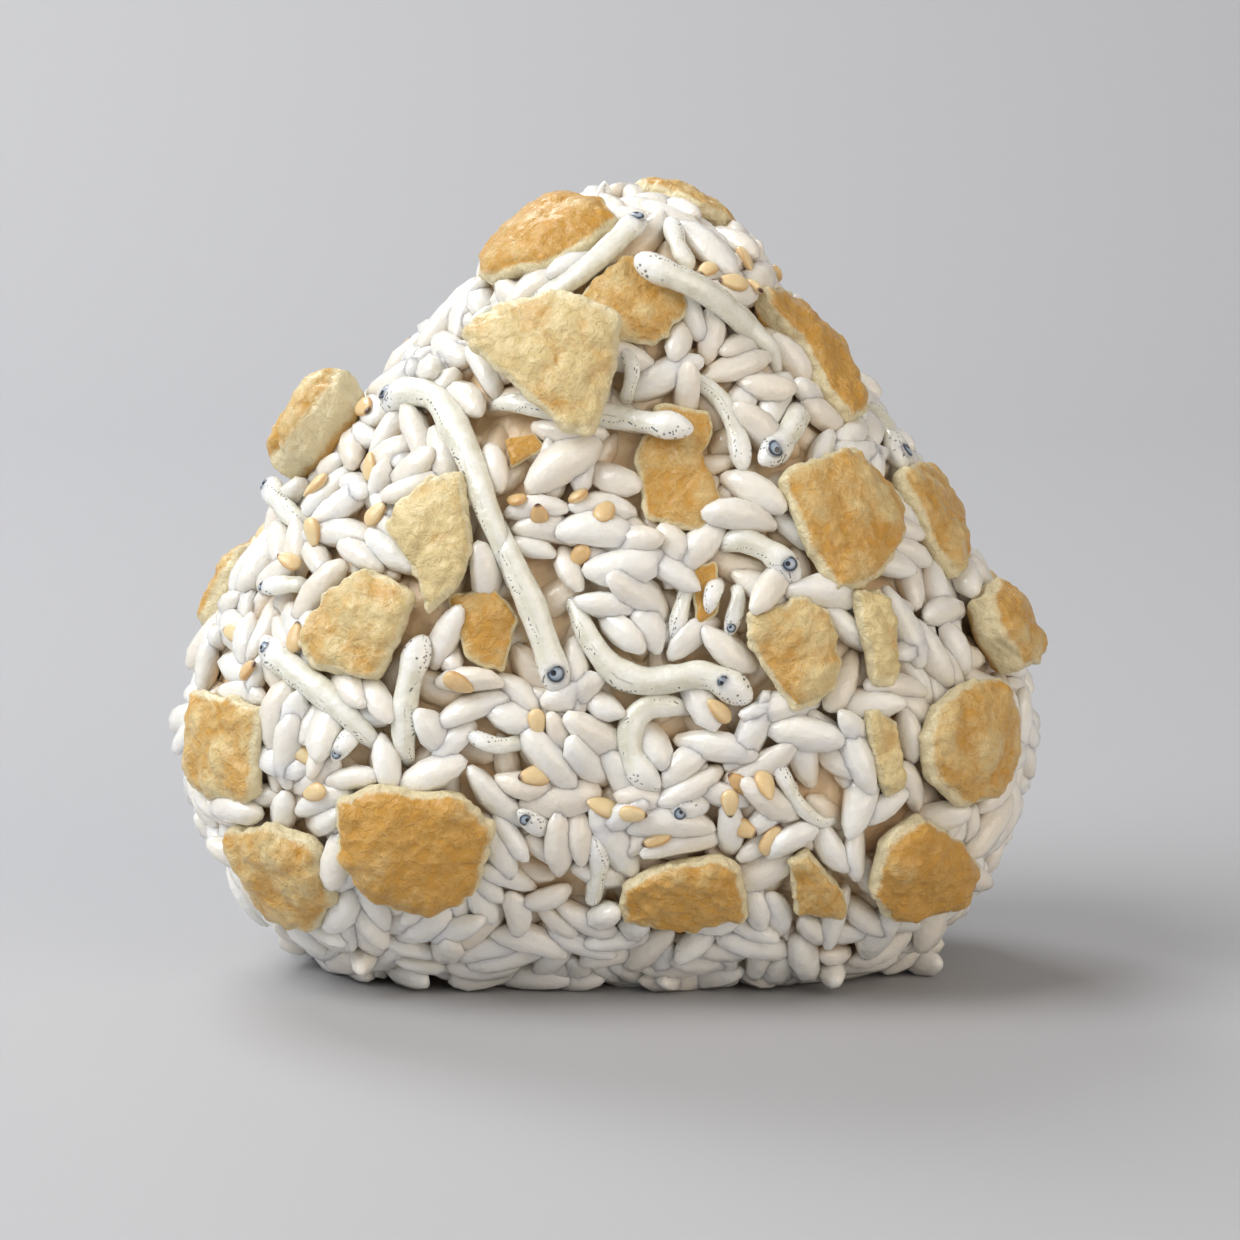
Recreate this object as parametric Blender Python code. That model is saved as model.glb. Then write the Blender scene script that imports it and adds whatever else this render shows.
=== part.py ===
"""A triangular rice ball with fried tofu, whitebait and sesame mixed into the rice.

The form is a rounded triangular plate swept by a ball: every skin point is one
ball radius away from the plate, and the ball shrinks from foot to tip. The
toppings are laid on that skin, then the rice grains fill the places between.
Lengths in the tables are millimetres; MM turns them into metres. The face
names are the side a piece is looked at from: front is -Y, left is -X.
"""
import math
import random

import bmesh
import bpy
import numpy as np
from mathutils import Matrix, Vector
from mathutils.bvhtree import BVHTree

MM = 0.001

# the plate that the ball sweeps: corners in x and z
PLATE_LEFT = (-15.0, 20.5)
PLATE_RIGHT = (15.0, 20.5)
PLATE_TIP = (1.5, 54.0)
PLATE_HALF = 1.0
FOOT_RADIUS = 22.5
TIP_RADIUS = 15.0
BELLY = 1.8

CORE_DEPTH = 2.05       # bare core below the skin
FOOT_FILL = 1.6         # how much fuller the core is where it is pressed flat
GAP = 0.35              # clear distance between a topping and a grain
GRAIN_LENGTH = 7.0
GRAIN_WIDTH = 3.0
GRAIN_DEPTH = 1.5       # middle of a grain below the skin
GRAIN_RISE = 0.85       # greatest height of that middle above the core
FIRST_SPACING = 4.6      # from a spot to the grains before it, in the first round
GRAIN_SPACING = 2.75     # between the middle lines of two grains
GRAIN_LIMIT = 192
SEED_LENGTH = 3.1
SEED_WIDTH = 1.9
SEED_THICK = 1.3
SEED_SPARES = 12        # sesame on the sides that have no listed seed

TOFU_GROWTH = 1.05      # outlines over the listed corners

RICE_WHITE = (0.78, 0.77, 0.74)
TOFU_GOLD = (0.80, 0.52, 0.17)
FISH_WHITE = (0.70, 0.71, 0.64)

# fried tofu: face, place on it, inner level, thickness, slope (u, v), outline
TOFU = [
    ("top", (-5.5, -6.0), -1.6, 3.0, (0, 0),
     [(-9.5, -3), (-7, 1.5), (-5, 5), (2.5, 5), (5.6, 4), (6.2, 0.8), (4.4, -3.6), (-2.5, -6.2)]),
    ("front", (2.5, 61.5), -1.7, 2.0, (0, 0),
     [(-5.5, 0), (-1, 4.2), (2.5, 3.5), (4.8, -1), (1.5, -4.5), (-2.5, -3.5)]),
    ("front", (-4.0, 55.5), 1.25, 2.6, (-0.04, 0.0),
     [(-7.5, 2), (-4.5, 4.5), (0, 5.5), (4.5, 3.5), (4.5, 0), (3, -6), (1, -6), (-5.5, -0.5)]),
    ("left", (-1.0, 47.5), -1.2, 6.0, (0, 0),
     [(-3, -4.5), (-3.2, 3), (0, 4.5), (3, 3.5), (3.5, -2), (1, -4.8)]),
    ("front", (-14.0, 40.5), -1.2, 3.0, (0.03, 0.08),
     [(-5, 1.5), (-2, 5.5), (1.2, 6.2), (2.6, 0), (1.8, -2.5), (-0.8, -5.5), (-2, -2.5)]),
    ("front", (-21.0, 33.5), -1.5, 3.0, (0, 0),
     [(-5.5, -1.5), (-4, 3), (0, 5), (4.2, 3), (3.4, 0), (2, -4), (-3.5, -3.3)]),
    ("front", (-10.5, 34.5), -1.7, 1.8, (0, 0),
     [(-3.2, 2), (0.5, 2.8), (2.8, 0.5), (1.5, -4), (-1.5, -2.5)]),
    ("left", (-13.0, 22.0), -1.5, 3.0, (0, 0),
     [(-6, 4), (2, 4.3), (6.3, 4.2), (6, -4), (-0.5, -4.3), (-5.5, -2.8)]),
    ("front", (-28.0, 11.5), -1.5, 3.3, (0, 0),
     [(-6, 3.5), (0.5, 5), (4.5, 3.6), (5, -2), (2, -5), (-4, -5.5)]),
    ("front", (-16.0, 15.5), -1.5, 4.4, (0, 0),
     [(-6.6, 3.3), (-4, 5), (3, 4.5), (6, 1.5), (4.5, -4), (0.5, -6.5), (-4, -5), (-6.4, -1.5)]),
    ("front", (-7.6, 49.0), -1.7, 1.1, (0, 0),
     [(-1.4, 0.8), (1, 1.4), (2, 0), (-0.6, -1.6)]),
    ("front", (7.0, 47.5), -1.7, 1.7, (0, 0),
     [(-2.5, 5), (2, 5), (2.2, 3), (1, 1), (2.6, -3), (1, -5.5), (-3.5, -4.5), (-4.3, 1)]),
    ("right", (-6.0, 55.0), -1.6, 3.2, (0, 0),
     [(-4, 7), (5, 6), (6, 1.5), (1.5, -3), (0.5, -5.5), (-3, -6), (-3.5, -2.5), (-2, 2)]),
    ("front", (20.0, 42.5), -1.2, 3.2, (0, 0),
     [(-4.8, 4.0), (-1, 5.3), (3.5, 6), (6, 3), (6, -1.5), (1, -6), (-2.2, -6), (-4.2, -2)]),
    ("front", (22.7, 33.2), -0.9, 2.8, (0, 0),
     [(-1.6, 3), (1, 3.3), (1.4, -1), (1.4, -4), (-1, -4)]),
    ("front", (16.8, 32.0), -1.4, 3.0, (0, 0),
     [(-4.6, 3.2), (0, 4.2), (2.3, 3), (2.6, -1), (2, -3.5), (-1, -5), (-4, -0.5)]),
    ("right", (-6.6, 41.0), -1.4, 3.0, (0, 0),
     [(-4, 5), (4, 4.5), (6, -1), (1, -4), (-3.6, -5), (-4.8, -1)]),
    ("right", (-7.5, 31.0), -1.2, 5.0, (0, 0),
     [(-3.5, 3.5), (1, 4), (3.5, 1), (2.5, -3.4), (-2.5, -3.4), (-4, 0)]),
    ("right", (-16.5, 23.0), -1.2, 4.0, (0, 0),
     [(-4.2, 3.6), (0, 5), (4, 4.6), (6, 0), (2.5, -4.6), (-2, -4.6), (-5.2, -2.5), (-5.6, 1)]),
    ("front", (24.2, 22.5), -1.3, 2.6, (0, 0),
     [(-2, 4), (0.6, 3), (0.9, -2.5), (-0.6, -3), (-1.8, 0)]),
    ("front", (27.0, 12.5), -1.4, 4.0, (0, 0),
     [(-5, 2.5), (-1.5, 5), (1, 3.5), (6.5, -1), (5, -4), (-2.5, -4.5), (-5, -1.5)]),
    ("front", (18.0, 11.5), -1.6, 2.8, (0, 0),
     [(-2.5, 2.3), (-1, 3.2), (2, -0.5), (2.3, -3.2), (-1.5, -3)]),
    ("front", (6.3, 11.5), -1.5, 3.4, (0, 0),
     [(-4.8, 0), (-2, 2), (3.2, 3), (4.8, 1.8), (5.4, -3), (0, -4.5), (-4.8, -3.2)]),
    ("back", (12.0, 39.0), -1.5, 3.2, (0, 0),
     [(-5.5, 2), (-2, 5.2), (3.5, 4.6), (5.8, -1), (2, -5.4), (-4, -4)]),
    ("back", (-9.0, 35.0), -1.5, 3.6, (0, 0),
     [(-6, -1), (-3.5, 4.2), (2, 5), (5.5, 1), (3, -4.6), (-3, -5)]),
    ("back", (1.5, 57.0), -1.6, 3.0, (0, 0),
     [(-5, 1), (-1, 4.8), (4, 3), (4.6, -2.4), (0, -4.5), (-4, -3)]),
    ("back", (-22.0, 22.0), -1.4, 3.8, (0, 0),
     [(-5.5, 3), (0, 5), (5, 3.4), (5.4, -3), (-1, -5.2), (-5, -3)]),
    ("back", (22.5, 20.0), -1.5, 3.4, (0, 0),
     [(-5, 0), (-2.4, 4.6), (3.6, 5), (5.6, 0.4), (2.6, -4.8), (-3.4, -4.4)]),
    ("back", (3.0, 22.0), -1.5, 3.0, (0, 0),
     [(-4.6, 2.6), (1, 4.6), (5, 1.6), (4.4, -3.4), (-2, -4.6)]),
    ("back", (-14.0, 50.0), -1.5, 2.8, (0, 0),
     [(-4, 2), (1, 4.6), (4.4, 0.6), (2, -4.2), (-3, -3.6)]),
    ("back", (-6.5, 11.0), -1.5, 3.2, (0, 0),
     [(-5, 1.4), (-1, 4), (4.6, 3), (5, -2.4), (-1, -4), (-4.6, -2.6)]),
    ("left", (8.0, 32.0), -1.4, 3.6, (0, 0),
     [(-5, 2), (-1, 5), (4.4, 3.4), (5, -2), (0.6, -5), (-4, -3.6)]),
    ("right", (9.0, 30.5), -1.5, 3.2, (0, 0),
     [(-4, 4), (2.4, 4.6), (5, 0), (2.6, -4.4), (-4, -3.6)]),
    ("top", (7.0, 4.5), -1.6, 2.8, (0, 0),
     [(-4.4, 1.6), (0, 4.6), (4.6, 2.4), (4, -3), (-1, -4.6), (-4.4, -2.4)]),
]

# whitebait: face, greatest radius, points (two places on the face, level) from snout to tail
FISH = [
    ("front", 1.15, [(-19.5, 51.0, 0.1), (-17.2, 52.4, 0.2), (-14.8, 52.3, 0.1), (-13.2, 50.4, 0), (-11.6, 47.4, 0),
                     (-10.5, 44.4, 0), (-9.4, 41.8, -0.3)]),
    ("front", 1.15, [(-4.0, 28.5, -0.1), (-4.6, 30.6, 0), (-5.4, 33, -0.3), (-6.5, 36, -0.4), (-7.4, 38, -0.6)]),
    ("front", 1.1, [(12.2, 27.8, -0.2), (10, 29.3, -0.1), (8, 30, -0.3), (5.6, 29.7, -0.4), (3, 29.5, -0.5),
                    (0.5, 30.5, -0.5), (-1.5, 33, -0.6), (-2.6, 35.4, -0.7), (-3.4, 37, -0.8)]),
    ("front", 0.75, [(5.7, 32.6, -0.5), (6.0, 34.5, -0.6), (6.5, 36.5, -0.8), (7.0, 38.6, -0.9)]),
    ("front", 1.2, [(16.2, 37.6, -0.1), (15.2, 39.0, 0), (13.6, 40.4, -0.2), (11.5, 41.3, -0.5), (9.6, 41, -0.8)]),
    ("front", 1.3, [(2.3, 63.6, 1.8), (4, 62.6, 1.9), (6.4, 61.6, 1.8), (9, 60.5, 0.9), (11.8, 58.6, 0),
                    (14.2, 56.6, -0.2), (15.8, 54.8, -0.6)]),
    ("front", 1.2, [(13.0, 47.4, 0), (14.4, 48.5, 0), (16.0, 50.3, -0.2), (17.2, 52.2, -0.6)]),
    ("front", 0.95, [(11.7, 47.0, -0.5), (11.2, 50, -0.6), (10.2, 52.4, -0.6), (8.6, 54, -0.7), (7, 54.7, -0.8),
                     (5.5, 54.5, -0.9)]),
    ("front", 1.15, [(7.2, 50.0, 1.3), (4.8, 50.5, 1.2), (2.4, 51, 0.2), (-0.5, 51.6, -0.3), (-4, 52, -0.4),
                     (-7.5, 52.5, -0.4), (-10.8, 52.8, -0.7)]),
    ("front", 1.1, [(3.0, 67.6, -0.2), (1.5, 66.4, 0), (-0.1, 65, 0), (-2, 63.5, -0.2), (-4.4, 62, -0.4),
                    (-6.4, 60.4, -0.5), (-8, 58.8, -0.5), (-9.5, 57, -0.6), (-10.8, 55.6, -0.9)]),
    ("front", 0.9, [(5.6, 67.6, -0.5), (6.0, 66.2, -0.5), (6.7, 64.9, -0.7), (7.8, 64, -0.9)]),
    ("right", 1.2, [(-7.5, 45.5, 0), (-5.5, 47.4, 0), (-3.2, 49, -0.3), (-1.4, 51.2, -0.7)]),
    ("front", 1.25, [(-29.6, 31.3, 0), (-28.4, 30.5, 0.1), (-26.5, 29.3, -0.1), (-24.5, 28, -0.3), (-22.5, 26.5, -0.4),
                     (-21, 25, -0.5), (-19.7, 23.6, -0.8)]),
    ("front", 1.1, [(-15.6, 33.3, -0.6), (-16.4, 31.4, -0.4), (-17, 29, -0.4), (-17.4, 26.6, -0.5),
                    (-17.4, 24.2, -0.6), (-17.1, 22.2, -0.9)]),
    ("front", 1.05, [(4.4, 20.2, -0.2), (3.0, 21.6, -0.2), (2, 23.6, -0.4), (2.1, 25.8, -0.5), (3.5, 27.2, -0.6),
                     (5.4, 27.3, -0.7), (7.2, 26.8, -0.9)]),
    ("front", 0.7, [(10.2, 33.2, -0.6), (10.7, 34.8, -0.6), (11.1, 36.2, -0.8), (11.1, 37.6, -0.9)]),
    ("front", 0.85, [(-1.2, 16.0, -0.5), (-0.7, 13.6, -0.5), (-1.1, 10.6, -0.6), (-1.5, 8.4, -0.8)]),
    ("front", 0.7, [(14.0, 23.0, -0.8), (15.2, 20.8, -0.6), (16.4, 18.7, -0.6), (18.2, 17.1, -0.8),
                    (20, 16.7, -0.9)]),
    ("left", 1.1, [(-1.5, 42.4, 2.2), (-3.4, 42, 1.3), (-6, 41.5, 0), (-9, 41.2, -0.7)]),
    ("back", 1.2, [(-4.0, 45.5, 0), (-2, 46.6, 0), (0.6, 46.8, -0.3), (3.2, 45.6, -0.5), (5, 43.4, -0.6),
                   (5.2, 40.6, -0.8)]),
    ("back", 1.15, [(13.0, 28.8, 0), (10.8, 29.8, 0), (8, 30, -0.4), (5.2, 31, -0.4), (3, 33.2, -0.5),
                    (1.6, 36, -0.8)]),
    ("back", 1.1, [(-12.5, 21.5, 0), (-11.6, 23.8, 0), (-9.5, 25.6, -0.4), (-6.5, 26, -0.5), (-3.8, 26.8, -0.8)]),
    ("back", 1.15, [(9.5, 51.5, 0), (8, 49.4, 0), (8.4, 47, -0.5), (10.4, 46.2, -0.8)]),
    ("back", 1.05, [(9.0, 13.5, -0.2), (11.2, 12.6, -0.2), (13.8, 13, -0.5), (16.4, 12, -0.8)]),
]

# heads and tail ends that only just show: face, two ends of each
NUBS = [
    ("front", (5.2, 17.9), (7.6, 18.6)),
    ("front", (-7.4, 18.4), (-5.6, 16.8)),
    ("front", (-23.2, 22.6), (-22.2, 24.2)),
    ("front", (-29.6, 35.6), (-27.6, 36.4)),
    ("front", (8.6, 35.4), (9.2, 37.6)),
]

# sesame on the front, each lying on a grain: x and z
SEEDS = [
    (-25, 40.5), (-23.5, 39.3), (-27.4, 38), (-20, 43), (-20.7, 46.6), (-31, 29), (-32.8, 31.5), (-26.5, 22.5),
    (-26.6, 32.2), (-7.8, 44.6), (-5.8, 43.4), (-2.4, 45), (-2.4, 40), (-0.2, 43.6), (-12.6, 29.4), (-6, 26),
    (-8.4, 23.5), (-6.2, 21.4), (-0.5, 18.6), (2.2, 18.4), (4.2, 15.9), (5.2, 24.6), (9.4, 27), (9.2, 17.8),
    (11.2, 20.8), (10.4, 19), (11.6, 16.6), (14, 15.6), (13.4, 20.6), (2.5, 53.6), (8.8, 63.4), (10.6, 61.9),
    (12.4, 61.2), (12, 63.6), (-25.2, 44), (-24.9, 19.6), (-18.6, 57), (-21, 50.5),
]

FACES = {
    "front": ((1, 0, 0), (0, 0, 1), (0, 1, 0)),
    "back": ((1, 0, 0), (0, 0, 1), (0, -1, 0)),
    "left": ((0, 1, 0), (0, 0, 1), (1, 0, 0)),
    "right": ((0, 1, 0), (0, 0, 1), (-1, 0, 0)),
    "top": ((1, 0, 0), (0, 1, 0), (0, 0, -1)),
}


def plate_points(points):
    """The nearest point of the flat triangular plate for each point."""
    flat = points[:, [0, 2]]
    corners = [np.array(c) for c in (PLATE_LEFT, PLATE_RIGHT, PLATE_TIP)]
    nearest = np.zeros_like(flat)
    least = np.full(len(flat), 1e9)
    inside = np.ones(len(flat), bool)
    for start, end in zip(corners, corners[1:] + corners[:1]):
        edge = end - start
        share = np.clip((flat - start) @ edge / (edge @ edge), 0, 1)
        on_edge = start + share[:, None] * edge
        distance = np.linalg.norm(flat - on_edge, axis=1)
        closer = distance < least
        nearest[closer] = on_edge[closer]
        least = np.minimum(least, distance)
        inside &= edge[0] * (flat[:, 1] - start[1]) - edge[1] * (flat[:, 0] - start[0]) >= 0
    nearest[inside] = flat[inside]
    depth = np.clip(points[:, 1], -PLATE_HALF, PLATE_HALF)
    return np.column_stack([nearest[:, 0], depth, nearest[:, 1]])


def height(points):
    """Distance outside the skin; negative inside."""
    middle = plate_points(points)
    share = (middle[:, 2] - PLATE_LEFT[1]) / (PLATE_TIP[1] - PLATE_LEFT[1])
    radius = FOOT_RADIUS + (TIP_RADIUS - FOOT_RADIUS) * share + BELLY * np.sin(math.pi * np.clip(share, 0, 1))
    return np.linalg.norm(points - middle, axis=1) - radius


def normals(points, step=0.05):
    """Outward directions, from the slope of the distance."""
    slope = np.column_stack([height(points + step * e) - height(points - step * e) for e in np.eye(3)])
    return slope / np.linalg.norm(slope, axis=1, keepdims=True)


def settle(points, level=0.0, rounds=6):
    """Moves points along the normals until they lie at a level over the skin."""
    for _ in range(rounds):
        points = points - (height(points) - level)[:, None] * normals(points)
    return points


def skin_point(face, first, second):
    """The skin point seen at two coordinates of a face, found by marching inward."""
    across, up, inward = (np.array(a, float) for a in FACES[face])
    point = first * across + second * up - 70.0 * inward
    if face == "top":
        point = first * across + second * up + 110.0 * np.array([0.0, 0.0, 1.0])
    for _ in range(60):
        gap = height(point[None])[0]
        if gap < 0.01:
            break
        point = point + gap * 0.9 * inward
    return point


def tangents(normal):
    """Rightward and upward directions along the skin, seen from outside."""
    right = np.cross([0.0, 0.0, 1.0], normal)
    right /= np.linalg.norm(right)
    return right, np.cross(normal, right)


def smooth_path(points, count):
    """Even steps along a curve that passes through the points."""
    knots = np.array(points, float)
    padded = np.vstack([2 * knots[0] - knots[1], knots, 2 * knots[-1] - knots[-2]])
    fine = []
    for i in range(len(knots) - 1):
        a, b, c, d = padded[i:i + 4]
        for t in np.linspace(0, 1, 12, endpoint=False):
            fine.append(0.5 * (2 * b + (c - a) * t + (2 * a - 5 * b + 4 * c - d) * t * t
                               + (3 * b - a - 3 * c + d) * t ** 3))
    fine = np.array(fine + [knots[-1]])
    steps = np.concatenate([[0], np.cumsum(np.linalg.norm(np.diff(fine[:, :3], axis=0), axis=1))])
    wanted = np.linspace(0, steps[-1], count)
    return np.column_stack([np.interp(wanted, steps, fine[:, k]) for k in range(fine.shape[1])])


def material(name, colour, roughness):
    """A Principled material with one colour."""
    made = bpy.data.materials.get(name) or bpy.data.materials.new(name)
    made.use_nodes = True
    made.diffuse_color = (*colour, 1)
    shader = made.node_tree.nodes["Principled BSDF"]
    shader.inputs["Base Color"].default_value = (*colour, 1)
    shader.inputs["Roughness"].default_value = roughness
    shader.inputs["Metallic"].default_value = 0.0
    return made


def sphere(rings, sides, shape):
    """A sphere primitive whose corners are moved by a function of the unit sphere."""
    bm = bmesh.new()
    bmesh.ops.create_uvsphere(bm, u_segments=sides, v_segments=rings, radius=1.0)
    unit = np.array([v.co for v in bm.verts])
    for vert, place in zip(bm.verts, shape(unit)):
        vert.co = Vector(place * MM)
    if bm.calc_volume(signed=True) < 0:
        bmesh.ops.reverse_faces(bm, faces=bm.faces)
    return bm


def add_object(name, bm, collection, look):
    """A mesh object from a bmesh, shaded smooth."""
    mesh = bpy.data.meshes.new(name)
    bm.to_mesh(mesh)
    bm.free()
    mesh.shade_smooth()
    mesh.set_sharp_from_angle(angle=math.radians(40))
    mesh.materials.append(look)
    made = bpy.data.objects.new(name, mesh)
    collection.objects.link(made)
    return made


def tofu_slab(face, place, level, thick, slope, outline):
    """A puffed slab with a cornered outline, draped over the skin."""
    corners = np.array(outline, float) * TOFU_GROWTH
    if len(corners) < 6:
        halves = (corners + np.roll(corners, -1, axis=0)) / 2 * 1.06
        corners = np.stack([corners, halves], axis=1).reshape(-1, 2)
    count = len(corners)
    centre = skin_point(face, *place)
    right, up = tangents(normals(centre[None])[0])

    def shape(unit):
        turn = np.arctan2(unit[:, 0], unit[:, 1]) / (2 * math.pi) * count
        corner = corners[np.round(turn).astype(int) % count]
        across = np.hypot(unit[:, 0], unit[:, 1])
        spread = across ** 0.6
        rise = np.sign(unit[:, 2]) * np.abs(unit[:, 2]) ** 0.6
        flat = corner * spread[:, None]
        base = centre + flat[:, :1] * right + flat[:, 1:] * up
        base = settle(base)
        lift = level + thick * (0.5 + 0.5 * rise) + flat @ np.array(slope)
        return base + lift[:, None] * normals(base)

    return sphere(5, count, shape)


def fish_points(face, points, count):
    """The middle line of a fish over the skin, in millimetres."""
    path = smooth_path(points, count)
    places = np.array([skin_point(face, a, b) for a, b, _ in path])
    return places + path[:, 2:3] * normals(places)


def fish_radius(share):
    """Girth along a fish from snout to tail, as a share of the greatest."""
    return float(np.interp(share, [0, 0.07, 0.2, 0.34, 0.6, 0.82, 1], [0.45, 0.85, 1.0, 0.88, 0.95, 0.66, 0.35]))


def whitebait(name, face, girth, points, collection, look):
    """A small fish as a tapered tube with closed ends."""
    count = len(points) + (1 if len(points) < 7 else 0)
    path = fish_points(face, points, count)
    curve = bpy.data.curves.new(name, "CURVE")
    curve.dimensions = "3D"
    curve.bevel_depth = girth * MM
    curve.bevel_resolution = 2
    curve.use_fill_caps = True
    spline = curve.splines.new("POLY")
    spline.points.add(count - 1)
    for i, place in enumerate(path):
        spline.points[i].co = (*(place * MM), 1)
        spline.points[i].radius = fish_radius(i / (count - 1))
    curve.materials.append(look)
    made = bpy.data.objects.new(name, curve)
    collection.objects.link(made)
    return made


def spindle(length, width, thick, sides=5):
    """Shape function of a few-sided grain that is pointed at both ends."""
    def shape(unit):
        long = np.sign(unit[:, 2]) * np.abs(unit[:, 2]) ** 0.75
        ring = np.hypot(unit[:, 0], unit[:, 1])
        full = np.where(ring > 0.1, 1 / np.maximum(ring, 0.1), 0)
        return np.column_stack([long * length / 2, unit[:, 0] * full * width / 2, unit[:, 1] * full * thick / 2])
    return lambda rings=3: sphere(rings, sides, shape)


def placed(bm, centre, along, normal):
    """Turns a piece so that its X runs along a direction with Z outward."""
    side = np.cross(normal, along)
    turn = Matrix((along, side, normal)).transposed().to_4x4()
    bmesh.ops.transform(bm, matrix=Matrix.Translation(Vector(centre * MM)) @ turn, verts=bm.verts)
    return bm


def tree_of(objects):
    """One search tree over the surfaces of several objects, in metres."""
    corners, faces = [], []
    depsgraph = bpy.context.evaluated_depsgraph_get()
    for item in objects:
        mesh = bpy.data.meshes.new_from_object(item.evaluated_get(depsgraph))
        start = len(corners)
        corners += [v.co.copy() for v in mesh.vertices]
        faces += [[start + i for i in p.vertices] for p in mesh.polygons]
        bpy.data.meshes.remove(mesh)
    return BVHTree.FromPolygons(corners, faces)


def is_clear(tree, centre, along, length, width, lowest):
    """Whether a grain keeps its gap to the toppings and lies above the foot."""
    for share in (-0.46, -0.23, 0, 0.23, 0.46):
        point = centre + along * length * share
        hit = tree.find_nearest(Vector(point * MM))
        half = width * (0.5 if abs(share) < 0.4 else 0.3)
        if hit[0] is None or hit[3] / MM < half + GAP:
            return False
        if (Vector(point * MM) - hit[0]).dot(hit[1]) < 0:
            return False
        if point[2] < lowest:
            return False
    return True


def scatter_spots(rng, tries):
    """Random places on the skin, above the foot."""
    aim = rng.normal(size=(tries, 3))
    aim /= np.linalg.norm(aim, axis=1, keepdims=True)
    spots = settle(np.array([0.0, 0.0, 30.0]) + aim * 32, rounds=14)
    return spots[spots[:, 2] > 1.0]


def grow_grains(tree, ground, collection, look):
    """Rice over the skin, side by side, turned or shortened to miss toppings and sunk into the core."""
    rng = np.random.default_rng(11)
    taken = np.full((1, 3), 1e6)
    laid = 0
    spots = scatter_spots(rng, 5000)
    for spacing, spot in [(FIRST_SPACING, s) for s in spots] + [(GRAIN_SPACING, s) for s in spots]:
        if laid >= GRAIN_LIMIT:
            break
        if np.min(np.linalg.norm(taken - spot, axis=1)) < spacing:
            continue
        normal = normals(spot[None])[0]
        right, up = tangents(normal)
        first = rng.uniform(0, math.pi)
        size = rng.uniform(0.88, 1.1)
        sink = GRAIN_DEPTH + rng.uniform(-0.25, 0.25)
        lean = rng.uniform(-0.12, 0.12)
        for attempt in range(12):
            turn = first + attempt * math.pi / 6
            length = GRAIN_LENGTH * size * (1 if attempt < 6 else 0.72)
            along = math.cos(turn) * right + math.sin(turn) * up + lean * normal
            along /= np.linalg.norm(along)
            centre = spot - normal * sink
            above = ground.find_nearest(Vector(centre * MM))
            rise = (Vector(centre * MM) - above[0]).dot(above[1]) / MM
            centre = centre - normal * max(rise - GRAIN_RISE, 0)
            line = centre + np.linspace(-0.42, 0.42, 5)[:, None] * along * length
            apart = np.min(np.linalg.norm(taken[:, None] - line, axis=2))
            if apart > GRAIN_SPACING and is_clear(tree, centre, along, length, GRAIN_WIDTH, -0.5):
                outward = normal - along * (normal @ along)
                outward /= np.linalg.norm(outward)
                width = GRAIN_WIDTH * rng.uniform(0.92, 1.06)
                bm = placed(spindle(length, width, width * 0.9)(), centre, along, outward)
                add_object("grain", bm, collection, look)
                taken = np.vstack([taken, line])
                laid += 1
                break


def lay_nubs(tree, collection, look):
    """Fish ends that only just show, as short spindles fused to the rice."""
    for face, first, second in NUBS:
        ends = np.array([skin_point(face, *first), skin_point(face, *second)])
        centre = ends.mean(axis=0)
        normal = normals(centre[None])[0]
        along = ends[1] - ends[0]
        along -= normal * (along @ normal)
        length = np.linalg.norm(along) + 1.6
        along /= np.linalg.norm(along)
        centre = settle(centre[None])[0] - normal * 0.9
        if is_clear(tree, centre, along, length, 2.0, 0.8):
            add_object("nub", placed(spindle(length, 2.0, 2.0)(), centre, along, normal), collection, look)


def lay_seeds(toppings, ground, collection, look):
    """Sesame on top of the grains: the listed ones, and spares on the other sides."""
    rng = np.random.default_rng(5)
    spots = [skin_point("front", x, z) for x, z in SEEDS]
    spares = [s for s in scatter_spots(rng, 600) if s[1] > 4 and s[2] > 6][:SEED_SPARES * 2]
    laid = 0
    for number, spot in enumerate(spots + spares):
        if laid >= len(SEEDS) + SEED_SPARES:
            break
        normal = normals(spot[None])[0]
        hit = ground.ray_cast(Vector((spot + normal * 4) * MM), Vector(-normal), 8 * MM)
        if hit[0] is None:
            continue
        right, up = tangents(normal)
        turn = rng.uniform(0, math.pi)
        outward = np.array(hit[1])
        along = math.cos(turn) * right + math.sin(turn) * up
        along -= outward * (along @ outward)
        along /= np.linalg.norm(along)
        centre = np.array(hit[0]) / MM + outward * 0.15
        if is_clear(toppings, centre, along, SEED_LENGTH, SEED_WIDTH, 1.5):
            bm = placed(spindle(SEED_LENGTH, SEED_WIDTH, SEED_THICK, 4)(), centre, along, outward)
            add_object("seed", bm, collection, look)
            laid += 1


def rice_core(collection, look):
    """The bare core: a sphere drawn onto the skin and sunk below it, but full at the foot."""
    bm = bmesh.new()
    bmesh.ops.create_icosphere(bm, subdivisions=3, radius=1.0)
    unit = np.array([v.co for v in bm.verts])
    places = settle(np.array([0.5, 0.0, 30.0]) + unit * 30, rounds=14)
    depth = CORE_DEPTH - FOOT_FILL * np.clip(1 - places[:, 2] / 4, 0, 1)
    places = places - depth[:, None] * normals(places)
    for vert, place in zip(bm.verts, places):
        vert.co = Vector(place * MM)
    return add_object("rice", bm, collection, look)


def apply_modifiers(item):
    """Replaces an object's mesh by the evaluated one."""
    depsgraph = bpy.context.evaluated_depsgraph_get()
    mesh = bpy.data.meshes.new_from_object(item.evaluated_get(depsgraph))
    item.modifiers.clear()
    old = item.data
    item.data = mesh
    bpy.data.meshes.remove(old)
    mesh.name = item.name


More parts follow.
